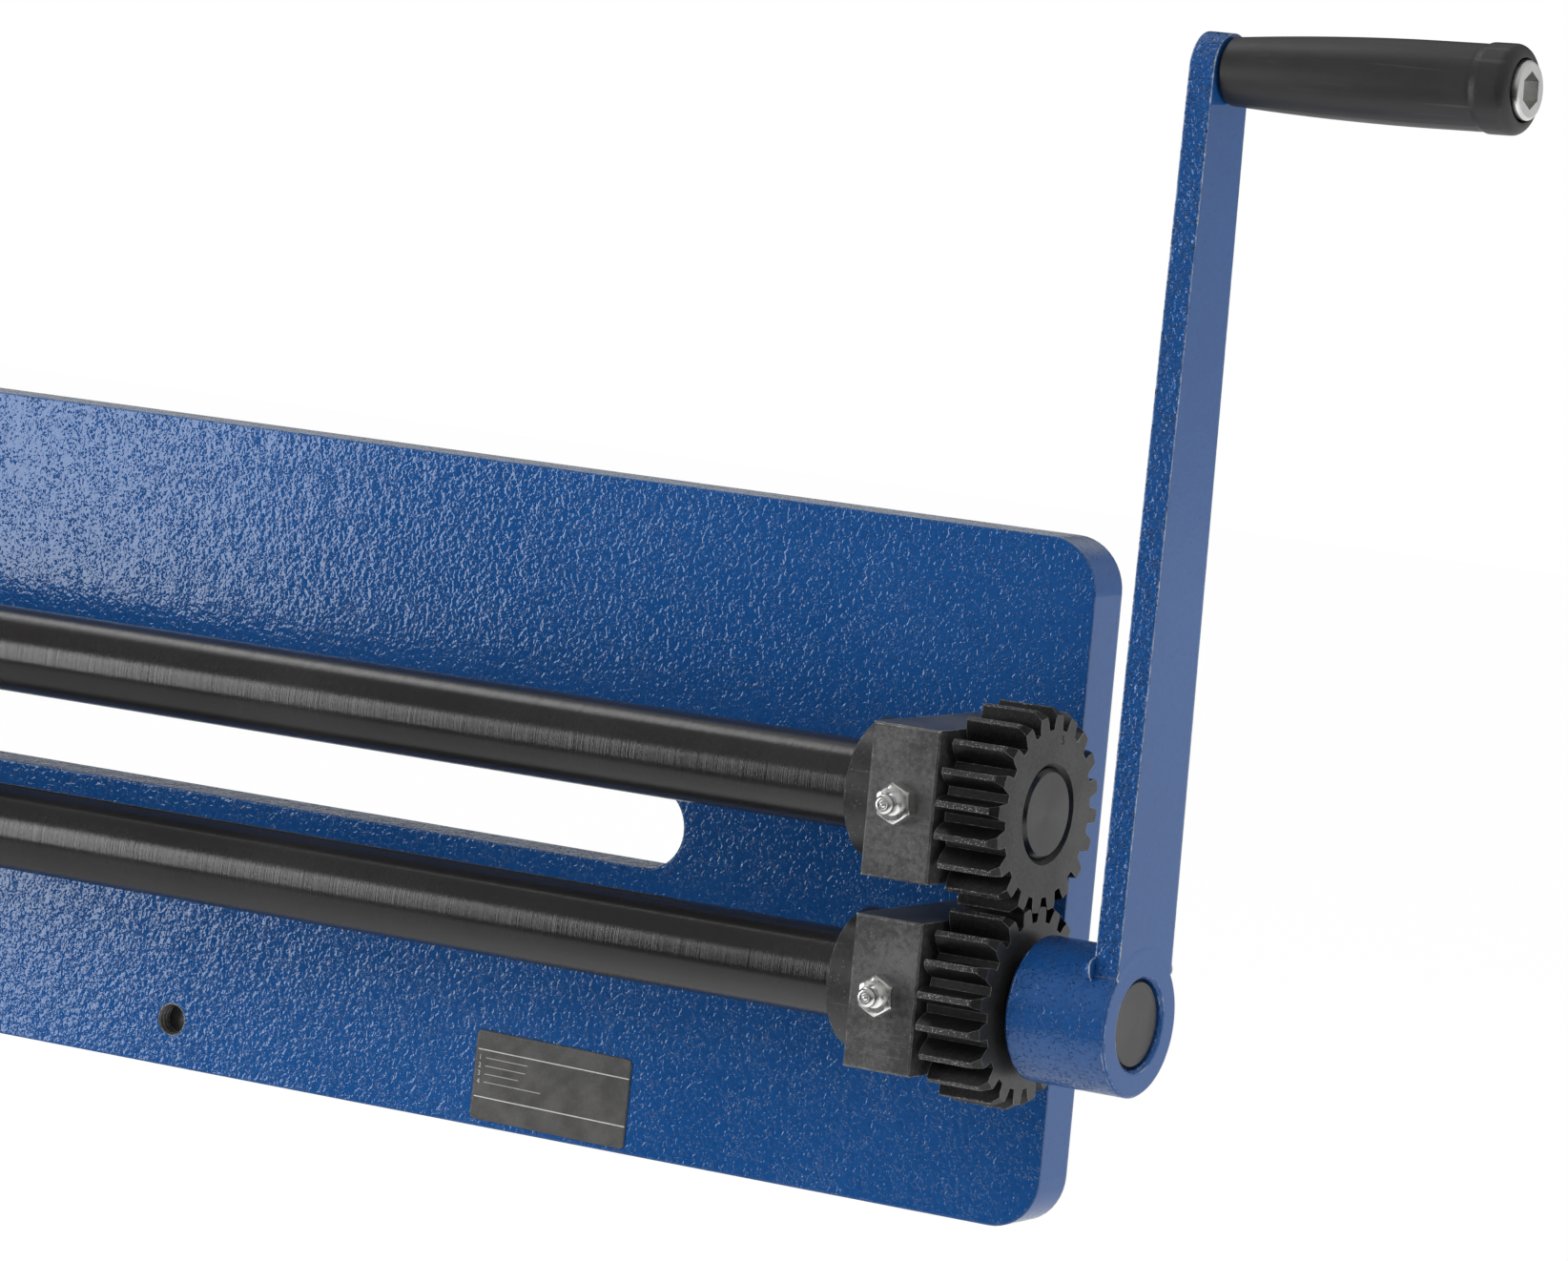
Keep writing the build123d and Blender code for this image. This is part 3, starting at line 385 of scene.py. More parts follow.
def enamel(name, peel, pimples, crank=False, top_light=0.0, foot_edge_share=1.0, gloss=(0.05, 0.10)):
    """Blue enamel. peel is the height (m) of the orange peel, and faces along X have SIDE_PEEL.
    foot_edge_share is the share of the paler edge (chipped paint and painted highlight) left at the
    arm's foot, top_light the share of painted light on upward faces, gloss the range of roughness."""
    material, g, shader = new_material(name, Metallic=0.0, IOR=1.5, Specular_IOR_Level=0.5,
                                       Specular_Tint=(0.84, 0.92, 1.0, 1))
    scale, wear, radius, grain, chip_and_highlight_level = (
        (560.0, 1.0, 0.0011, 240.0, 0.75) if crank else (540.0, 0.7, 0.0007, 160.0, 0.30))
    skin = use_group(g, ORANGE_PEEL, Scale=scale, Pimples=pimples)
    tone = patches(g, 9.0, 420.0, 0.35)
    worn_and_lit_edge = edge_wear_and_highlight(g, radius, wear, grain)
    facing = g.facing()
    end_face = g.ramp(g.calc("ABSOLUTE", facing[0]), 0.55, 0.85, 1.0, SIDE_PEEL / peel)
    rounded = g.put("Bevel", {"Radius": 0.0012}, samples=BEVEL_SAMPLES).outputs[0]
    if crank:
        split = g.parts(g.place())
        flat = flush_joint(g, split, facing[0])
        true = g.put("NewGeometry").outputs["Normal"]
        rounded = g.put("Mix", {0: flat, 4: rounded, 5: true}, data_type="VECTOR").outputs[1]
        worn_and_lit_edge = g.times(worn_and_lit_edge, g.calc("SUBTRACT", 1.0, flat))
        worn_and_lit_edge = g.times(worn_and_lit_edge, g.ramp(split[2], *ARM_FOOT, foot_edge_share, 1.0))
    blue = g.mix(g.ramp(tone, 0.35, 0.65), (0.0085, 0.062, 0.215, 1), (0.0125, 0.074, 0.245, 1))
    # Troughs of the orange peel in a darker blue: painted shade in the hollows.
    trough_shaded = g.mix(g.times(skin["Hollow"], 0.30), blue, (0.005, 0.040, 0.150, 1))
    # Upward faces paler grey in patches: painted light from above.
    top_lit = g.times(g.ramp(facing[2], 0.6, 0.95, 0.0, top_light), g.ramp(tone, 0.2, 0.6, 0.5, 1.0))
    top_lit_blue = g.mix(top_lit, trough_shaded, (0.42, 0.45, 0.50, 1))
    # Paler edges: chipped paint down to the primer, and a painted edge highlight; near white on the
    # crank.
    chip_and_highlight_colour = (chip_and_highlight_level * 0.85, chip_and_highlight_level * 0.92, chip_and_highlight_level, 1)
    g.feed(g.mix(worn_and_lit_edge, top_lit_blue, chip_and_highlight_colour), shader["Base Color"])
    g.feed(g.ramp(tone, 0.3, 0.7, *gloss), shader["Roughness"])
    raised = bump(g, g.times(skin["Height"], end_face), peel, 1.0, rounded)
    g.feed(raised, shader["Normal"])
    return material


plate_enamel = enamel("hammered_enamel", 0.00013, 2.0, top_light=0.5)
hub_enamel = enamel("hub_enamel", 0.00015, 3.0, crank=True, gloss=(0.16, 0.26))
arm_enamel = enamel("arm_enamel", 0.00042, 2.4, crank=True, foot_edge_share=0.15)
print("enamels:", plate_enamel.name, hub_enamel.name, arm_enamel.name)

# %% [markdown]
# ### Black oxide
# Bearing blocks, collars and gears are blackened in a salt bath, which leaves a thin dark skin on
# bare machined steel. It mirrors less than bare metal does, so it is set half way to one, with a
# low tone, clouds, and fine grinding scratches. The edges are paler, partly rubbed bright and
# partly a painted edge highlight, and grains of steel show through as flecks.

# %% Black oxide
def black_oxide(name, dark, light, roughness, axis_z=None):
    """Blackened steel. With axis_z it also has lathe lines round the shaft at that height."""
    material, g, shader = new_material(name, Metallic=0.45, IOR=1.5)
    cloud = patches(g, 45.0, 700.0, 0.5)
    worn_and_lit_edge = edge_wear_and_highlight(g, 0.0009, 1.0, 300.0)
    grains = use_group(g, FLECKS, Scale=1500.0, Share=0.08)["Mask"]
    scratch = use_group(g, SCRATCHES)["Mask"]
    skin = g.mix(g.ramp(cloud, 0.36, 0.64), grey(dark), grey(light))
    flecked = g.mix(g.times(grains, 0.5), skin, grey(0.30))
    marked = g.mix(g.times(scratch, 0.35), flecked, grey(0.30))
    # Paler edges: rubbed steel and a painted edge highlight.
    g.feed(g.mix(worn_and_lit_edge, marked, (0.50, 0.50, 0.49, 1)), shader["Base Color"])
    g.feed(g.ramp(cloud, 0.3, 0.7, roughness - 0.05, roughness + 0.09), shader["Roughness"])
    normal = bump(g, cloud, 0.00008, 0.5)
    if axis_z is not None:
        rings = use_group(g, LATHE_LINES, Axis_Z=axis_z)["Height"]
        normal = bump(g, rings, 0.000012, 1.0, normal)
    g.feed(normal, shader["Normal"])
    return material


block_black = black_oxide("block_black_oxide", 0.058, 0.135, 0.40)
collar_black = black_oxide("collar_black_oxide", 0.030, 0.048, 0.36, axis_z=LOWER_Z)
small_black = black_oxide("screw_black_oxide", 0.04, 0.07, 0.38)
print("black oxides:", block_black.name, collar_black.name, small_black.name)

# %% [markdown]
# ### Gears
# The gears are cut from the same blackened steel, but the tooth tips are left rough by the blank's
# skin: they sparkle with grains, while the flanks and gaps keep a darker, oily skin. The distance
# from the axis tells the tips apart, because they lie at 33 mm, and the turned faces look along X.

# %% Gear steel
TIP_START, TIP_FULL = 0.0325, 0.0328


def gear_steel(name, axis_z):
    """Blackened gear with grainy tooth tips."""
    material, g, shader = new_material(name, Metallic=0.5, IOR=1.5)
    cloud = patches(g, 60.0, 900.0, 0.55)
    worn_and_lit_edge = edge_wear_and_highlight(g, 0.0005, 0.8, 420.0)
    lathe = use_group(g, LATHE_LINES, Axis_Z=axis_z, Lines=1400.0)
    tip = g.ramp(lathe["Distance"], TIP_START, TIP_FULL)
    grains = use_group(g, FLECKS, Scale=1900.0, Share=0.42)["Mask"]
    grain_share = g.calc("ADD", g.times(tip, 0.9), 0.05)
    turned = g.ramp(g.calc("ABSOLUTE", g.facing()[0]), 0.6, 0.9)
    toned = g.calc("MAXIMUM", turned, g.times(tip, 0.8))
    clouded = g.ramp(cloud, 0.36, 0.64)
    cut = g.mix(clouded, grey(0.008), grey(0.020))
    face = g.mix(clouded, grey(0.036), (0.070, 0.069, 0.068, 1))
    grainy = g.mix(g.times(grains, grain_share), g.mix(toned, cut, face), grey(0.62))
    # Paler edges: worn steel and a painted edge highlight.
    g.feed(g.mix(worn_and_lit_edge, grainy, grey(0.36)), shader["Base Color"])
    g.feed(g.ramp(tip, 0.0, 1.0, 0.36, 0.55), shader["Roughness"])
    rough = bump(g, g.times(grains, tip), 0.00008)
    g.feed(bump(g, lathe["Height"], 0.000016, 1.0, rough), shader["Normal"])
    return material


upper_gear_steel = gear_steel("upper_gear_steel", UPPER_Z)
lower_gear_steel = gear_steel("lower_gear_steel", LOWER_Z)
print("gear steels:", upper_gear_steel.name, lower_gear_steel.name)

# %% [markdown]
# ### Shafts
# The shafts are ground bar with a black oxide skin and a film of oil. The skin is no bare metal:
# it mirrors little when looked at straight and much along its upper and lower edge, as oil does,
# so it is set up as a dark non-metal. Grinding leaves very fine rings round the bar, and these
# smear every reflection along it, so the lamp shows as one long band.

# %% Shaft steel
def shaft_steel(name, axis_z):
    """Blackened ground bar with an oil film."""
    material, g, shader = new_material(name, Metallic=0.0, IOR=1.5)
    cloud = patches(g, 14.0, 500.0, 0.3)
    worn_and_lit_edge = edge_wear_and_highlight(g, 0.0005, 0.6, 300.0)
    rings = use_group(g, LATHE_LINES, Axis_Z=axis_z, Lines=3200.0)["Height"]
    skin = g.mix(g.ramp(cloud, 0.35, 0.65), (0.013, 0.012, 0.012, 1), (0.020, 0.019, 0.019, 1))
    # Paler edges: worn steel and a painted edge highlight.
    g.feed(g.mix(worn_and_lit_edge, skin, grey(0.20)), shader["Base Color"])
    g.feed(g.ramp(worn_and_lit_edge, 0.0, 1.0, 0.0, 0.8), shader["Metallic"])
    g.feed(g.ramp(cloud, 0.3, 0.7, 0.15, 0.20), shader["Roughness"])
    g.feed(bump(g, rings, 0.00007), shader["Normal"])
    return material


upper_shaft_steel = shaft_steel("upper_shaft_steel", UPPER_Z)
lower_shaft_steel = shaft_steel("lower_shaft_steel", LOWER_Z)
print("shaft steels:", upper_shaft_steel.name, lower_shaft_steel.name)

# %% [markdown]
# ### Bright metals: zinc, roll steel and bronze
# Zinc plating is pale and slightly mottled, with faint yellow and blue where it passivated. The
# rolls are turned tool steel, cleaner and with wider lathe lines. The bushes are bearing bronze.

# %% Bright metals
def bright_metal(name, first, second, roughness, axis_z=None, lines=900.0):
    """Bare or plated metal whose tone drifts between two colours."""
    material, g, shader = new_material(name, Metallic=1.0)
    cloud = patches(g, 220.0, 1600.0, 0.5)
    grime = patches(g, 90.0, 500.0, 0.4)
    plain = g.mix(g.ramp(cloud, 0.35, 0.65), first, second)
    dark = tuple(v * 0.35 for v in first[:3]) + (1,)
    g.feed(g.mix(g.ramp(grime, 0.56, 0.74, 0.0, 0.7), plain, dark), shader["Base Color"])
    g.feed(g.ramp(cloud, 0.3, 0.7, roughness - 0.06, roughness + 0.08), shader["Roughness"])
    normal = bump(g, cloud, 0.00004, 0.5)
    if axis_z is not None:
        rings = use_group(g, LATHE_LINES, Axis_Z=axis_z, Lines=lines)["Height"]
        normal = bump(g, rings, 0.00002, 1.0, normal)
    g.feed(normal, shader["Normal"])
    return material


zinc = bright_metal("bright_zinc", (0.72, 0.73, 0.74, 1), (0.80, 0.79, 0.75, 1), 0.30)
roll_tones = (0.40, 0.40, 0.41, 1), grey(0.50)
upper_roll_steel = bright_metal("upper_roll_steel", *roll_tones, 0.26, UPPER_Z)
lower_roll_steel = bright_metal("lower_roll_steel", *roll_tones, 0.26, LOWER_Z)
bronze = bright_metal("bearing_bronze", (0.50, 0.31, 0.12, 1), (0.58, 0.38, 0.17, 1), 0.34,
                      UPPER_Z, 1600.0)
print("bright metals:", zinc.name, upper_roll_steel.name, lower_roll_steel.name, bronze.name)

# %% [markdown]
# ### Plastics
# The grip is moulded in satin black with a very fine spark-eroded grain, polished a little by the
# hand. The knobs of the cross bar are glossier. Both carry faint scuffs: long thin noise,
# stretched along X.

# %% Plastics
def moulded_plastic(name, colour, roughness, grain_height, scuffs):
    """Black plastic with a moulded grain and light scuffs along X."""
    material, g, shader = new_material(name, Metallic=0.0, IOR=1.49)
    stretched = g.put("Mapping", {"Vector": g.place(), "Scale": (12.0, 900.0, 900.0)}).outputs[0]
    scuff = g.ramp(g.noise(1.0, 4.0, at=stretched), 0.60, 0.74, 0.0, scuffs)
    cloud = patches(g, 30.0, 300.0, 0.3)
    pale = tuple(min(1.0, v * 2.2) for v in colour) + (1,)
    tone = g.mix(g.ramp(cloud, 0.3, 0.7, 0.0, 0.25), colour + (1,), pale)
    g.feed(g.mix(scuff, tone, grey(0.11)), shader["Base Color"])
    g.feed(g.ramp(cloud, 0.3, 0.7, roughness - 0.05, roughness + 0.06), shader["Roughness"])
    g.feed(bump(g, g.noise(2600.0), grain_height), shader["Normal"])
    return material


grip_plastic = moulded_plastic("grip_plastic", (0.018, 0.017, 0.018), 0.42, 0.00006, 0.25)
knob_plastic = moulded_plastic("knob_plastic", (0.010, 0.010, 0.011), 0.22, 0.00001, 0.15)
print("plastics:", grip_plastic.name, knob_plastic.name)

# %% [markdown]
# ## Dressing the CAD nodes
# A CAD node keeps its mesh and only changes its material slot. The table says which finish each
# one wears, and the print shows that none is left out.

# %% Finish of each node
finishes = {
    plate_enamel: ["frame_plate", "foot_bar"],
    hub_enamel: ["crank_hub", "crank_weld"],
    arm_enamel: ["crank_arm"],
    block_black: ["rear_upper_block", "rear_lower_block", "front_lower_block",
                  "front_upper_block", "adjuster_block", "screw_retainer"],
    collar_black: ["upper_collar", "lower_collar"],
    small_black: ["upper_set_screws", "lower_set_screws", "retainer_screws", "thrust_pad",
                  "upper_die_key", "lower_die_key", "foot_screws"],
    upper_gear_steel: ["upper_gear"],
    lower_gear_steel: ["lower_gear"],
    upper_shaft_steel: ["upper_shaft", "adjusting_screw"],
    lower_shaft_steel: ["lower_shaft"],
    upper_roll_steel: ["upper_die"],
    lower_roll_steel: ["lower_die"],
    bronze: ["rear_upper_bush", "rear_lower_bush", "front_lower_bush", "front_upper_bush"],
    zinc: ["block_bolts", "block_washers", "carriage_bolts", "carriage_washers",
           "frame_nipples", "carriage_nipple", "grip_screw", "tee_bar", "upper_die_washer",
           "upper_die_nut", "lower_die_washer", "lower_die_nut"],
    grip_plastic: ["grip"],
    knob_plastic: ["tee_knobs"],
}
for material, names in finishes.items():
    for name in names:
        mesh = nodes[name].data
        mesh.materials.clear()
        mesh.materials.append(material)
dressed = {name for names in finishes.values() for name in names}
print("dressed:", len(dressed), "left out:", sorted(set(nodes) - dressed))

# %% [markdown]
# ## New pieces
# Each piece below is a surface worked out with numpy: a grid of points, where the rows follow one
# parameter and the columns another. One helper turns any such grid into a closed, smooth mesh. It
# merges the points that fall together at a pole, and points every face outwards.

# %% Surface helper
def smooth_piece(name, mesh, crease):
    """Object of a mesh, smooth except at edges sharper than crease (degrees)."""
    mesh.shade_smooth()
    mesh.set_sharp_from_angle(angle=math.radians(crease))
    return add(name, mesh)


def surface(name, points, around=True, along=False, crease=35.0):
    """Mesh piece over a grid (rows, columns, 3) in metres. around joins the last column to the
    first, and along joins the last row to the first."""
    rows, columns = points.shape[:2]
    row, column = np.meshgrid(np.arange(rows if along else rows - 1),
                              np.arange(columns if around else columns - 1), indexing="ij")
    below, beside = (row + 1) % rows, (column + 1) % columns
    corners = ((row, column), (row, beside), (below, beside), (below, column))
    faces = np.stack([r * columns + c for r, c in corners], axis=-1).reshape(-1, 4)
    mesh = bpy.data.meshes.new(name)
    mesh.from_pydata(points.reshape(-1, 3).tolist(), [], faces.tolist())
    shell = bmesh.new()
    shell.from_mesh(mesh)
    bmesh.ops.remove_doubles(shell, verts=shell.verts, dist=1e-7)
    bmesh.ops.dissolve_degenerate(shell, edges=shell.edges, dist=1e-8)
    bmesh.ops.recalc_face_normals(shell, faces=shell.faces)
    shell.to_mesh(mesh)
    shell.free()
    return smooth_piece(name, mesh, crease)


def dress(piece, material, body, slot, *replaced):
    """Gives a new piece its material, the body it rides on and the nodes it stands for."""
    piece.data.materials.append(material)
    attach(piece, body)
    if replaced:
        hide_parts(*replaced)
    print(piece.name, "points:", len(piece.data.vertices), "rides on", body)


def smooth(value, low, high):
    """0 below low, 1 above high, and the cubic 3t^2 - 2t^3 between."""
    t = np.clip((value - low) / (high - low), 0, 1)
    return t * t * (3 - 2 * t)


def span(start, end, count):
    return np.linspace(start, end, count)


MM = 0.001
print("surface helper ready")

# %% [markdown]
# ### Grip
# The grip is a moulded handle that turns on a long screw. Its outline swells quickly from the arm
# and then flattens, and a soft lip ends it. A turned body is right here, with one thing that a
# lathe doesn't make: the two fine ridges where the halves of the mould met.

# %% Grip outline
GRIP_START, GRIP_END = 0.75, 98.25
BORE, RECESS, RECESS_DEPTH = 6.04, 9.6, 10.04
END_ROUND, ROOT_ROUND = 3.6, 1.2
LIP_START, LIP_FULL = 86.0, 88.2


def grip_radius(s):
    """Radius (mm) at distance s from the arm: 10.4 + 2.75 (1 - (1 - u)^1.9) with u = s / 68, then
    a lip of 0.55 with a fine crease before it."""
    u = np.clip((s - GRIP_START) / 68.0, 0, 1)
    swell = 10.4 + 2.75 * (1 - (1 - u) ** 1.9)
    lip = 0.55 * smooth(s, LIP_START, LIP_FULL)
    crease = 0.14 * np.exp(-((s - LIP_START) / 0.55) ** 2)
    return swell + lip - crease


body_s = span(GRIP_START + ROOT_ROUND, GRIP_END - END_ROUND, 150)
end_turn = span(0, math.pi / 2, 16)[1:]
end_r = grip_radius(body_s[-1]) - END_ROUND
root_turn = span(math.pi, math.pi / 2, 8)[:-1]
root_r = grip_radius(body_s[0]) - ROOT_ROUND
grip_s = np.concatenate([
    GRIP_START + ROOT_ROUND + ROOT_ROUND * np.cos(root_turn), body_s,
    body_s[-1] + END_ROUND * np.sin(end_turn), [GRIP_END - 0.1, GRIP_END - 0.5],
    span(GRIP_END - 1, GRIP_END - RECESS_DEPTH, 6), [GRIP_END - RECESS_DEPTH],
    span(GRIP_END - RECESS_DEPTH, GRIP_START, 10)])
grip_r = np.concatenate([
    root_r + ROOT_ROUND * np.sin(root_turn), grip_radius(body_s),
    end_r + END_ROUND * np.cos(end_turn), [RECESS + 0.15, RECESS],
    np.full(6, RECESS), [BORE + 0.2], np.full(10, BORE)])
print("grip outline points:", len(grip_s), "widest radius (mm):", round(float(grip_r.max()), 2))

# %% Grip surface
turn = span(0, 2 * math.pi, 161)[:-1]
ridge = np.exp(-((np.abs(np.sin(turn - 1.1))) / 0.035) ** 2)
outer = smooth(grip_r, BORE + 2.5, BORE + 4.2) * (grip_s < GRIP_END - END_ROUND)
ridge_height = 0.07 * ridge[None, :] * outer[:, None]
radius = (grip_r[:, None] + ridge_height) * MM
distance = np.repeat(grip_s[:, None] * MM, len(turn), axis=1)
lean_x = np.array([math.cos(SCREW_LEAN), 0, math.sin(SCREW_LEAN)])
lean_z = np.array([-math.sin(SCREW_LEAN), 0, math.cos(SCREW_LEAN)])
root_point = np.array([HUB_END_X, SHAFT_Y, GRIP_Z])
grip_points = (root_point + distance[..., None] * lean_x
               + (radius * np.cos(turn))[..., None] * np.array([0, 1, 0])
               + (radius * np.sin(turn))[..., None] * lean_z)
grip_piece = surface("turning_grip", grip_points, along=True)
dress(grip_piece, grip_plastic, "grip", "grip_plastic", "grip")

# %% [markdown]
# ### Weld bead
# The arm is welded to the hub by hand, on its inner face. A fillet weld is a three-cornered bead
# with a slightly crowned face, and each dip of the rod leaves a curved ripple. The bead follows
# the round hub, its legs vary a little, and where the welder stopped, at both ends, it is fuller.

# %% Weld bead
def round_hub(x, radius, angle):
    """Points at x and radius, at an angle from straight up round the lower shaft."""
    y, z = SHAFT_Y + radius * np.sin(angle), LOWER_Z + radius * np.cos(angle)
    return np.stack([x, y, z], axis=-1)


HUB_RADIUS, ARM_THICKNESS, WELD_LEG = 22.9, 8.5, 5.0  # mm
WELD_SPREAD = math.radians(53)
angle = span(-WELD_SPREAD, WELD_SPREAD, 260)[:, None]
across = span(0, 1, 22)[None, :]
fade = np.sqrt(np.clip(1 - (angle / WELD_SPREAD) ** 12, 0, 1))
lumps = 0.07 * np.sin(5.1 * angle + 1) + 0.05 * np.sin(11.3 * angle) + 0.03 * np.sin(23 * angle)
stops = 0.30 * np.exp(-((np.abs(angle) - 0.80) / 0.10) ** 2)
leg = WELD_LEG * (0.90 + lumps + stops) * fade
ripple = np.sin(angle * (HUB_RADIUS + 2) * math.pi + 5.0 * (across - 0.5) ** 2)
crown = (0.13 + 0.030 * ripple) * np.sin(math.pi * across)
towards_gear = leg * (across + crown) - 0.15 * fade * (1 - across)
outwards = leg * (1 - across + crown) - 0.15 * fade * across
corner = np.full_like(angle, -0.3) * fade
towards_gear = np.concatenate([towards_gear, corner], axis=1)
outwards = np.concatenate([outwards, corner], axis=1)
weld_x = HUB_END_X - (ARM_THICKNESS + towards_gear) * MM
weld_r = (HUB_RADIUS + outwards) * MM
weld_piece = surface("arm_weld_bead", round_hub(weld_x, weld_r, angle))
dress(weld_piece, hub_enamel, "lower_spindle", "hammer_paint", "crank_weld")

# %% [markdown]
# ### Paint over the crank's joint
# On the outer face the arm and the hub are flush, and the enamel has run over the joint between
# them, so no line shows there. A very flat bead, 0.06 mm high, follows the joint's arc.

# %% Paint over the joint
JOINT_SPREAD = math.radians(50)
angle = span(-JOINT_SPREAD, JOINT_SPREAD, 160)[:, None]
across = span(-1, 1, 17)[None, :]
fade = np.sqrt(np.clip(1 - (angle / JOINT_SPREAD) ** 20, 0, 1))
lift = 0.06 * (1 - across ** 2) - 0.01
front = np.concatenate([lift, np.full((1, 3), -0.35)], axis=1) * fade
sideways = np.concatenate([1.9 * across, [[1.2, 0.0, -1.2]]], axis=1) * fade
joint_r = (HUB_RADIUS - 0.15 + sideways) * MM
joint_points = round_hub(HUB_END_X + front * MM, joint_r, angle)
joint_piece = surface("joint_paint", joint_points, crease=80.0)
dress(joint_piece, hub_enamel, "lower_spindle", "hammer_paint")

# %% [markdown]
# ### Adjusting screw
# The screw has a 2 mm thread and a knurled head. Both are the same idea: the radius of a plain
# turned bar plus a term that depends on the angle as well as the height. A thread is a triangle
# wave of height / pitch minus the angle, and a knurl is two such waves crossing.

# %% Adjusting screw
def triangle_wave(value):
    """Runs 0 to 1 to 0 once for every unit of value."""
    return 1 - np.abs(2 * (value % 1) - 1)


SCREW_PITCH, BAR_RADIUS, HEAD_RADIUS = 2.0, 6.85, 12.0  # mm
THREAD_BOTTOM, HEAD_BOTTOM, HEAD_TOP = 173.5, 228.5, 250.5
HEAD_MIDDLE = (HEAD_BOTTOM + HEAD_TOP) / 2
KNURLS_AROUND, KNURL_CLIMB = 40, 1.9
outline = np.array([[163.9, 0], [163.9, 8.6], [164.3, 9], [166.7, 9], [167.1, 8.6], [167.1, 6],
                    [THREAD_BOTTOM - 1.5, 6], [THREAD_BOTTOM, 6.8]])
thread_z = span(THREAD_BOTTOM, HEAD_BOTTOM - 0.3, 216)
head_z = span(HEAD_BOTTOM, HEAD_TOP, 56)
head_r = HEAD_RADIUS - 1.2 * smooth(np.abs(head_z - HEAD_MIDDLE), 9.4, 11.0)
dished_top = [HEAD_TOP, HEAD_TOP - 0.6, HEAD_TOP - 0.6]
screw_z = np.concatenate([outline[:, 0], thread_z, head_z, dished_top])
screw_r = np.concatenate([outline[:, 1], np.full(len(thread_z), BAR_RADIUS), head_r, [9.5, 8.5, 0]])
turn = span(0, 2 * math.pi, 161)[:-1]
wound = screw_z[:, None] / SCREW_PITCH - turn[None, :] / (2 * math.pi)
ends = (smooth(screw_z, THREAD_BOTTOM, THREAD_BOTTOM + 2)
        * smooth(-screw_z, -HEAD_BOTTOM + 0.3, -HEAD_BOTTOM + 2))
on_thread = ((screw_z >= THREAD_BOTTOM) & (screw_z < HEAD_BOTTOM)) * ends
thread = 1.12 * np.clip(triangle_wave(wound) * 1.25 - 0.1, 0, 1) * on_thread[:, None]
knurl_turn = turn[None, :] * KNURLS_AROUND / (2 * math.pi)
knurl_climb = screw_z[:, None] / KNURL_CLIMB
crossed = np.maximum(triangle_wave(knurl_turn + knurl_climb),
                     triangle_wave(knurl_turn - knurl_climb))
on_knurl = smooth(-np.abs(screw_z - HEAD_MIDDLE), -9.2, -8.4) * (screw_r > HEAD_RADIUS - 1)
screw_radius = (screw_r[:, None] + thread - 0.35 * (1 - crossed) * on_knurl[:, None]) * MM
screw_points = np.stack([FRONT_BLOCK_X + screw_radius * np.cos(turn),
                         SHAFT_Y + screw_radius * np.sin(turn),
                         np.repeat(screw_z[:, None] * MM, len(turn), axis=1)], axis=-1)
screw_piece = surface("threaded_adjusting_screw", screw_points, crease=50.0)
dress(screw_piece, upper_shaft_steel, "screw", "shaft_steel", "adjusting_screw")

# %% [markdown]
# ### Grease nipples
# A nipple is a hexagon below and a turned head above, with a ball in its mouth. One surface can be
# both: each row has a radius and a share of "hexagon", and the radius at an angle is mixed between
# a circle and a hexagon by that share.

# %% Grease nipples
nipple_rows = np.array([
    # height, radius, share of hexagon
    [-0.3, 0, 0], [-0.3, 5.9, 1], [4.1, 5.9, 1], [4.6, 5.75, 0.75], [5, 5.3, 0.25], [5.05, 4.5, 0],
    [5.1, 3.7, 0], [5.6, 2.95, 0], [6.3, 2.5, 0], [7.1, 2.4, 0], [7.6, 2.7, 0], [8.1, 3.1, 0],
    [8.5, 3.25, 0], [9.5, 3.25, 0], [10.1, 3, 0], [10.55, 2.5, 0], [10.75, 1.9, 0],
    [10.7, 1.55, 0], [10.35, 1.35, 0], [10.4, 1.1, 0], [10.75, 0.75, 0], [10.95, 0.35, 0],
    [11, 0, 0]])


HEXAGON_CORNER = 1.135  # rounded corner's distance over the half width


def nipple_grid(x, z, turned_by):
    """Points of one nipple that points at the operator. The hexagon's radius is its half width
    over the cosine of the angle from the nearest flat's middle, cut off at the corners."""
    around = span(0, 2 * math.pi, 73)[:-1]
    from_flat = (around + math.pi / 6) % (math.pi / 3) - math.pi / 6
    hexagon = np.minimum(1 / np.cos(from_flat), HEXAGON_CORNER)
    height, plain, share = nipple_rows.T[:, :, None]
    reach = plain * (1 + share * (hexagon - 1)) * MM
    place = around + turned_by
    y = BLOCK_FRONT_Y - height * MM + 0 * reach
    return np.stack([x + reach * np.cos(place), y, z + reach * np.sin(place)], axis=-1)


def join(name, pieces):
    """One new piece from the meshes of several."""
    whole = bmesh.new()
    for piece in pieces:
        whole.from_mesh(piece.data)
    mesh = bpy.data.meshes.new(name)
    whole.to_mesh(mesh)
    whole.free()
    for piece in pieces:
        bpy.data.objects.remove(piece)
    return smooth_piece(name, mesh, 30)


fixed = [(REAR_BLOCK_X, UPPER_Z, 0.12), (REAR_BLOCK_X, LOWER_Z, 0.05),
         (FRONT_BLOCK_X, LOWER_Z, 0.4)]
nipple_pieces = [surface("nipple", nipple_grid(*place)) for place in fixed]
dress(join("frame_grease_nipples", nipple_pieces), zinc, "frame", "zinc", "frame_nipples")
lone = surface("carriage_grease_nipple", nipple_grid(FRONT_BLOCK_X, UPPER_Z, 0.3))
dress(lone, zinc, "carriage", "zinc", "carriage_nipple")

# %% [markdown]
# ### Threads in the plate's tapped holes
# The foot bar's screws come from behind and end inside the plate, so from the front each hole
# shows a few turns of dark thread before the screw's end. A ring with a thread on its inside
# lines the hole: its rows run along the inside and come back along the wall.

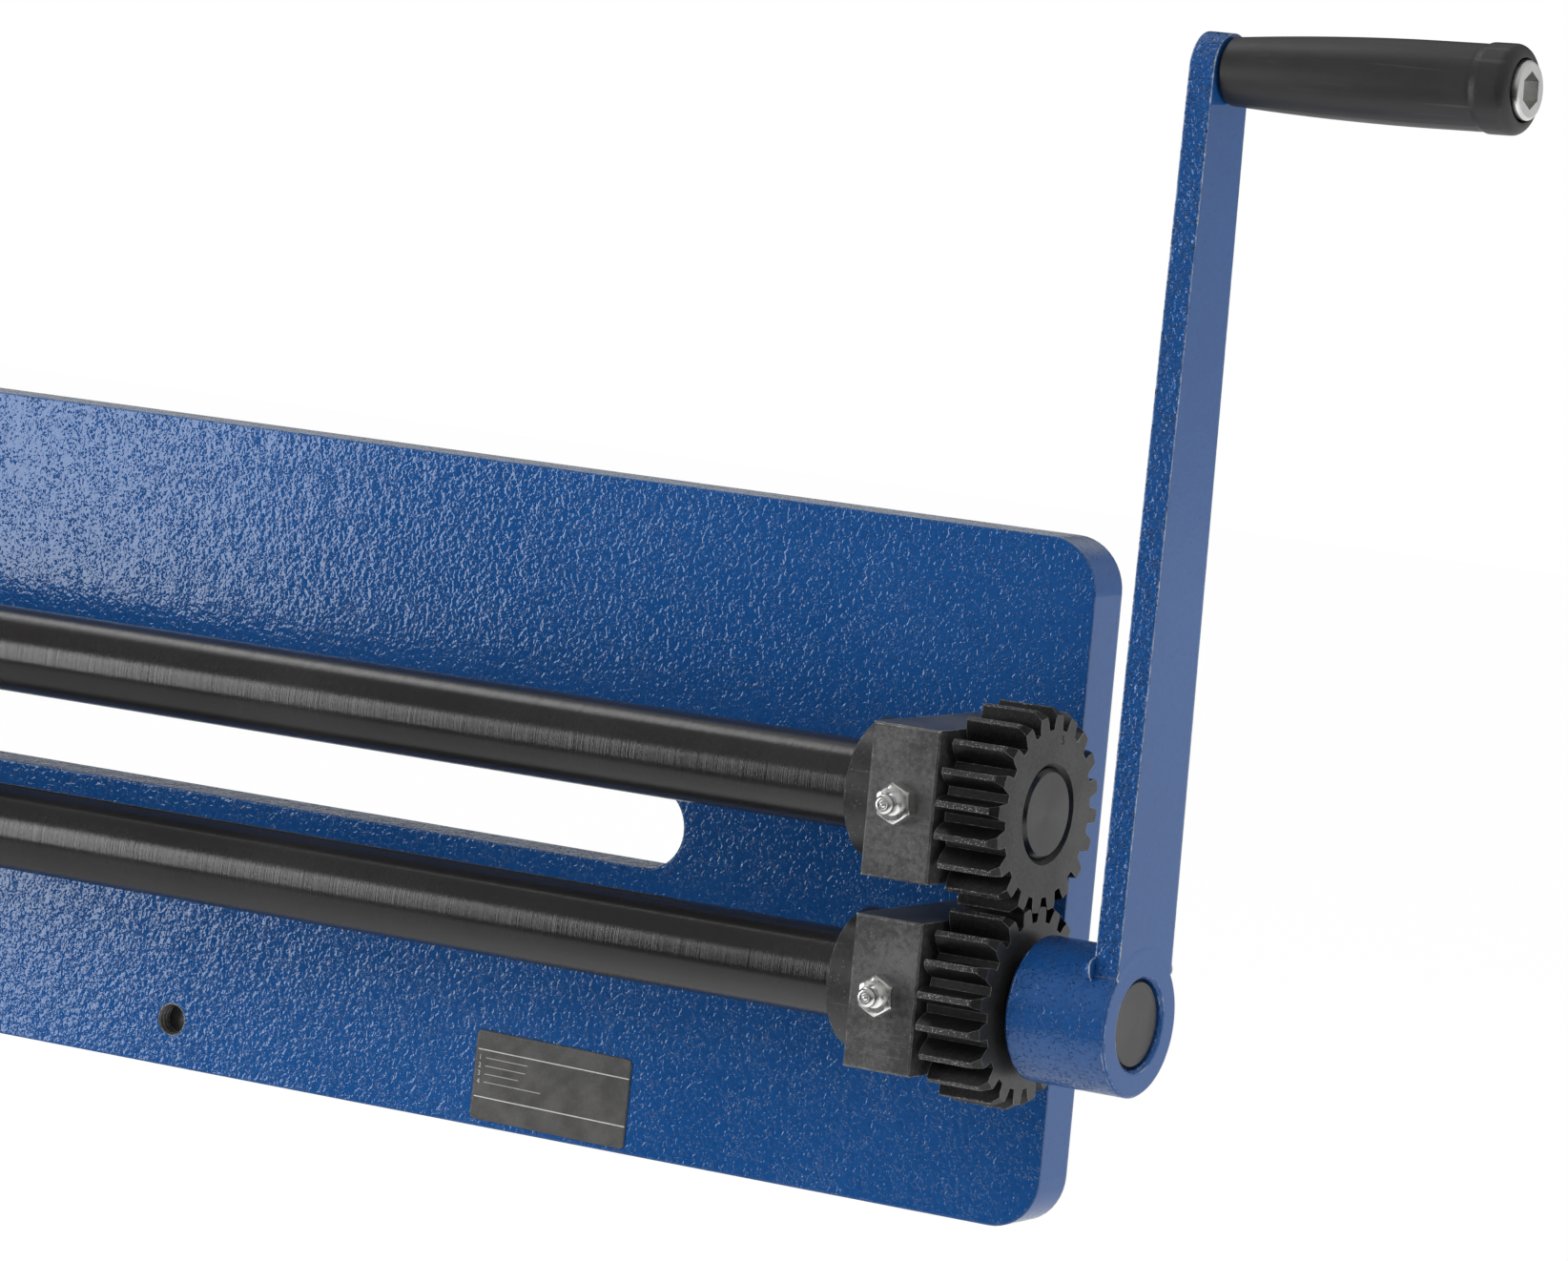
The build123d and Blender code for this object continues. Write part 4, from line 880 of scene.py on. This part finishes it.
# %% Hole threads
HOLE_RADIUS, HOLE_PITCH = 5.5, 1.75
MOUTH_Y, SCREW_END_Y = -8.70, -2.9
HOLE_X, HOLE_Z = 0.05, 0.016
inside_y = span(MOUTH_Y, SCREW_END_Y, 60)
thread_y = np.concatenate([inside_y, [SCREW_END_Y, MOUTH_Y]])
turn = span(0, 2 * math.pi, 65)[:-1]
wound = thread_y[:, None] / HOLE_PITCH + turn[None, :] / (2 * math.pi)
depth = 0.12 + 0.75 * triangle_wave(wound) * smooth(thread_y, MOUTH_Y, MOUTH_Y + 0.8)[:, None]
depth[-2:] = 0.0
hole_r = (HOLE_RADIUS - depth) * MM
rings = []
for hole_x in (-HOLE_X, HOLE_X):
    ring_points = np.stack([hole_x + hole_r * np.cos(turn),
                            np.repeat(thread_y[:, None] * MM, len(turn), axis=1),
                            HOLE_Z + hole_r * np.sin(turn)], axis=-1)
    rings.append(surface("hole_thread", ring_points, along=True))
dress(join("foot_hole_threads", rings), small_black, "frame", "black_steel")

# %% [markdown]
# ### Data plate
# Below the shafts a thin dark plate is stuck on the enamel. It is left generic: two printed rules,
# and four numbered lines to fill in. The sheet is a grid that follows the bumpy paint a little, and
# Solidify gives it thickness. The rules are part of its finish, and the numbers are cut from text.

# %% Data plate finish
LABEL_CENTRE = Vector((0.2047, PLATE_FRONT_Y, 0.0169))
LABEL_WIDTH, LABEL_HEIGHT = 0.0609, 0.0298
LABEL_TURN = math.radians(-0.9)
RULE_HEIGHTS, RULE_LEFT, RULE_RIGHT = (0.0084, -0.0074), -0.0295, 0.0300
LINE_TOP, LINE_GAP, LINE_LEFT = 0.0058, 0.0027, -0.0262
LINE_LENGTHS = (0.0165, 0.0160, 0.0135, 0.0225)


def label_finish():
    """Dark satin print with pale rules. A Mapping node brings the plate's middle to zero."""
    material, g, shader = new_material("data_plate_print", Metallic=0.0, IOR=1.45)
    back = Matrix.Rotation(LABEL_TURN, 3, "Y")
    at = back @ LABEL_CENTRE
    local = g.put("Mapping", {"Vector": g.place(), "Rotation": (0, LABEL_TURN, 0),
                              "Location": (-at.x, -at.y, -at.z)}).outputs[0]
    parts = g.parts(local)
    cloud = patches(g, 120.0, 1500.0, 0.4)
    worn_and_lit_edge = edge_wear_and_highlight(g, 0.0004, 0.8, 500.0)

    def rule(height, left, right, half, strength):
        """Mask of one printed line at a height (m), between left and right."""
        near = g.calc("ABSOLUTE", g.calc("SUBTRACT", parts[2], height))
        line = g.ramp(near, half, half * 1.6, 1.0, 0.0)
        inside = g.times(g.calc("GREATER_THAN", parts[0], left),
                         g.calc("LESS_THAN", parts[0], right))
        return g.times(g.times(line, inside), strength)

    printed = 0.0
    for height in RULE_HEIGHTS:
        printed = g.calc("MAXIMUM", printed, rule(height, RULE_LEFT, RULE_RIGHT, 0.00014, 0.8))
    for k, length in enumerate(LINE_LENGTHS):
        mark = rule(LINE_TOP - LINE_GAP * k, LINE_LEFT, LINE_LEFT + length, 0.00010, 0.5)
        printed = g.calc("MAXIMUM", printed, mark)
    dark = g.mix(g.ramp(cloud, 0.35, 0.65), (0.052, 0.050, 0.049, 1), (0.082, 0.080, 0.078, 1))
    inked = g.mix(printed, dark, grey(0.62))
    # Paler edges: worn print and a painted edge highlight.
    g.feed(g.mix(worn_and_lit_edge, inked, (0.30, 0.31, 0.32, 1)), shader["Base Color"])
    g.feed(g.ramp(cloud, 0.3, 0.7, 0.30, 0.42), shader["Roughness"])
    g.feed(bump(g, cloud, 0.00002), shader["Normal"])
    return material


label_print = label_finish()
print("data plate finish:", label_print.name)

# %% Data plate and numbers
u, v = np.meshgrid(span(-0.5, 0.5, 90), span(-0.5, 0.5, 44))
past_corner = (np.abs(u) - 0.5) * LABEL_WIDTH + (np.abs(v) - 0.5) * LABEL_HEIGHT + 0.0012
corner_cut = np.clip(past_corner, 0, 1)
flat_x = u * LABEL_WIDTH - np.sign(u) * corner_cut * 0.5
flat_z = v * LABEL_HEIGHT - np.sign(v) * corner_cut * 0.5
wave = 0.000025 * (np.sin(flat_x * 900) * np.cos(flat_z * 1100 + 1)
                   + np.sin(flat_x * 310 + flat_z * 420))
flat = np.stack([flat_x, -0.00024 + wave, flat_z], axis=-1)
label_axes = np.array(Matrix.Rotation(-LABEL_TURN, 3, "Y"))
label_piece = surface("data_plate", flat @ label_axes.T + np.array(LABEL_CENTRE), around=False)
thick = label_piece.modifiers.new("thickness", "SOLIDIFY")
thick.thickness, thick.offset = 0.00022, 0.0
dress(label_piece, label_print, "frame", "hammer_paint")


def numbers(name, text, size, line_gap, place):
    """Figures from text: the printed numbers, and the dark stamped figure that paints shade. Text
    made a thin mesh, then put at its place.
    """
    curve = bpy.data.curves.new(name, "FONT")
    curve.body, curve.size, curve.space_line = text, size, line_gap
    curve.extrude, curve.resolution_u = 0.00002, 3
    holder = add(name, curve)
    mesh = bpy.data.meshes.new_from_object(holder)
    bpy.data.objects.remove(holder)
    mesh.transform(place)
    return add(name, mesh)


def ink_and_stamp_shade(name, colour, roughness):
    """Slightly uneven printing ink, also the dark painted shade of the gear's stamped figure."""
    material, g, shader = new_material(name, Metallic=0.0)
    cloud = patches(g, 300.0, 2500.0, 0.5)
    thin = tuple(v * 0.6 for v in colour) + (1,)
    g.feed(g.mix(g.ramp(cloud, 0.35, 0.6), thin, colour + (1,)), shader["Base Color"])
    g.feed(g.ramp(cloud, 0.3, 0.7, roughness - 0.05, roughness + 0.1), shader["Roughness"])
    return material


upright = Matrix.Rotation(math.radians(90), 4, "X")
label_place = (Matrix.Translation(LABEL_CENTRE) @ Matrix.Rotation(-LABEL_TURN, 4, "Y")
               @ Matrix.Translation((-0.0290, -0.00037, 0.0050)) @ upright)
figures = numbers("data_plate_numbers", "1\n2\n3\n4", 0.0024, 1.12, label_place)
dress(figures, ink_and_stamp_shade("pale_ink", (0.55, 0.55, 0.55), 0.5), "frame", "hammer_paint")
# The gear's stamped figure is a dark mesh on its face: painted shade where the stamp's dents are.
face_place = (Matrix.Translation((GEAR_END_X + 0.00002, -0.0404, 0.1590))
              @ Matrix.Rotation(math.radians(90), 4, "Z") @ upright)
stamp_shade_figure = numbers("gear_stamp_shade", "5", 0.0040, 1.0, face_place)
dress(stamp_shade_figure, ink_and_stamp_shade("stamp_shadow", (0.012, 0.012, 0.012), 0.7), "upper_spindle", "black_steel")

# %% [markdown]
# ## Light and ground
# A product picture on white. Gloss shows what stands round the machine, so the world is a plain
# studio. The camera's side is dark, with a grey wall to the right. Behind, it is pale to the right,
# and to the left dark between a low pale band and a glow high up. Only the camera sees pure white
# everywhere. Rays that carry soft light get an even grey instead, a little stronger from above.

# %% World
world = bpy.data.worlds.new("studio")
bpy.context.scene.world = world
world.use_nodes = True
sky = Graph(world.node_tree)
world.node_tree.nodes.clear()
parts = sky.parts(sky.put("TexCoord").outputs["Generated"])
behind = sky.ramp(parts[1], -0.05, 0.25)
front_right = sky.times(sky.ramp(parts[0], -0.60, -0.40), sky.ramp(parts[2], -0.05, 0.3))
front_room = sky.calc("ADD", sky.ramp(parts[2], 0.0, 0.9, 0.01, 0.12),
                      sky.times(front_right, 0.35))
wall_height = sky.ramp(parts[2], -0.14, 0.02, 0.97, 0.56)
right_wall = sky.times(sky.ramp(parts[0], -0.15, 0.35, 0.02, 1.0), wall_height)
low_wall = sky.ramp(parts[2], 0.06, 0.13, 0.45, 0.0)
back_glow = sky.calc("MAXIMUM", low_wall, sky.ramp(parts[2], 0.25, 0.85, 0.0, 0.65))
on_right = sky.ramp(parts[0], -0.15, 0.15)
back_room = sky.put("Mix", {0: on_right, 2: back_glow, 3: right_wall}).outputs[0]
room = sky.put("Mix", {0: behind, 2: front_room, 3: back_room}).outputs[0]
path = sky.put("LightPath").outputs
soft_level = sky.ramp(parts[2], -1.0, 1.0, 0.42, 0.66)
level = sky.put("Mix", {0: path["Is Glossy Ray"], 2: soft_level, 3: room}).outputs[0]
final = sky.put("Mix", {0: path["Is Camera Ray"], 2: level, 3: 1.0}).outputs[0]
light = sky.put("Background", {"Color": (1, 1, 1, 1), "Strength": final}).outputs[0]
sky.put("OutputWorld", {"Surface": light})
print("world ready")

# %% [markdown]
# ### Lamps
# Two soft lamps are seen in the gloss: an upright one in front on the left, which makes the long
# band on the shafts and the pale end of the plate, and a long one overhead, which draws the thin
# line along the top of the shafts. Two more only fill, unseen in the gloss, so that the colours
# come out as they are written.

# %% Lamps
def softbox(name, centre, target, along, size, brightness, in_gloss=True):
    """Rectangular lamp facing a target. along is the direction of its width, size its width and
    height (m), and brightness its radiance: watts = brightness * pi * area."""
    data = bpy.data.lights.new(name, "AREA")
    data.shape = "RECTANGLE"
    data.size, data.size_y = size
    data.energy = brightness * math.pi * size[0] * size[1]
    lamp = add(name, data)
    back = (Vector(centre) - Vector(target)).normalized()
    side = Vector(along)
    side = (side - back * side.dot(back)).normalized()
    axes = Matrix((side, back.cross(side), back)).transposed().to_4x4()
    lamp.matrix_world = Matrix.Translation(centre) @ axes
    lamp.visible_camera = False
    lamp.visible_glossy = in_gloss


softbox("front_left_lamp", (-0.80, -0.90, 0.16), (0.1, -0.04, 0.16), (0.76, -0.65, -0.3),
        (0.46, 0.76), 6.2)
softbox("overhead_strip", (-1.10, 0.17, 2.1), (0.2, -0.04, 0.14), (-0.65, 0.76, 0),
        (1.3, 0.46), 3.2)
softbox("front_fill", (-0.9, -1.7, 1.5), (0.2, 0, 0.12), (1, 0, 0), (1.2, 1.2), 4.4, False)
softbox("right_fill", (1.9, 0.1, -0.1), (0.4, 0, 0.12), (0, 1, 0), (0.8, 0.8), 6.0, False)

# %% [markdown]
# ### Floor
# A white table below the sweep of the crank. The camera sees it white, except for the soft shadow.
# In the gloss it glows with painted light: a pool of light near the machine, paler towards the
# right, with a painted shadow under and just behind the machine, and dark from about 0.7 m in
# front, where the pool of light ends. Far behind the machine it is as pale as the wall.

# %% Floor
FLOOR_Z = -0.27
LIT_POOL_EDGE_Y = -0.67
floor_mesh = bpy.data.meshes.new("floor")
floor_corners = [(6 * x, 6 * y, FLOOR_Z) for x, y in ((-1, -1), (1, -1), (1, 1), (-1, 1))]
floor_mesh.from_pydata(floor_corners, [], [(0, 1, 2, 3)])
floor = add("floor", floor_mesh)
pale = bpy.data.materials.new("pale_floor")
pale.use_nodes = True
ground = Graph(pale.node_tree)
pale.node_tree.nodes.clear()
tone = ground.mix(ground.noise(30.0), grey(0.84), grey(0.88))
cloth = ground.put("BsdfDiffuse", {"Color": tone}).outputs[0]
ground_x, ground_y = ground.parts(ground.place())[:2]
# Painted pool of light in the gloss, dark from about 0.7 m in front.
painted_pool_front = ground.ramp(ground_y, LIT_POOL_EDGE_Y - 0.06, LIT_POOL_EDGE_Y + 0.06, 0.03, 1.0)
# Painted light, brighter towards the right.
painted_light_to_right = ground.ramp(ground_x, -0.25, 0.30, 0.47, 1.25)
lit = ground.times(painted_pool_front, painted_light_to_right)
# Painted shadow under and just behind the machine.
shaded = ground.times(lit, ground.ramp(ground_y, -0.10, 0.05, 1.0, 0.7))
mirrored = ground.calc("MAXIMUM", shaded, ground.ramp(ground_y, 0.35, 0.9, 0.0, 0.97))
rays = ground.put("LightPath").outputs
shine = ground.put("Mix", {0: rays["Is Glossy Ray"], 2: 1.05, 3: mirrored}).outputs[0]
glow = ground.put("Emission", {"Color": (1, 1, 1, 1), "Strength": shine}).outputs[0]
sees = ground.calc("MAXIMUM", ground.times(rays["Is Camera Ray"], 0.88), rays["Is Glossy Ray"])
blend = ground.put("MixShader", {0: sees, 1: cloth, 2: glow})
ground.put("OutputMaterial", {"Surface": blend.outputs[0]})
floor_mesh.materials.append(pale)
print("floor at", FLOOR_Z)
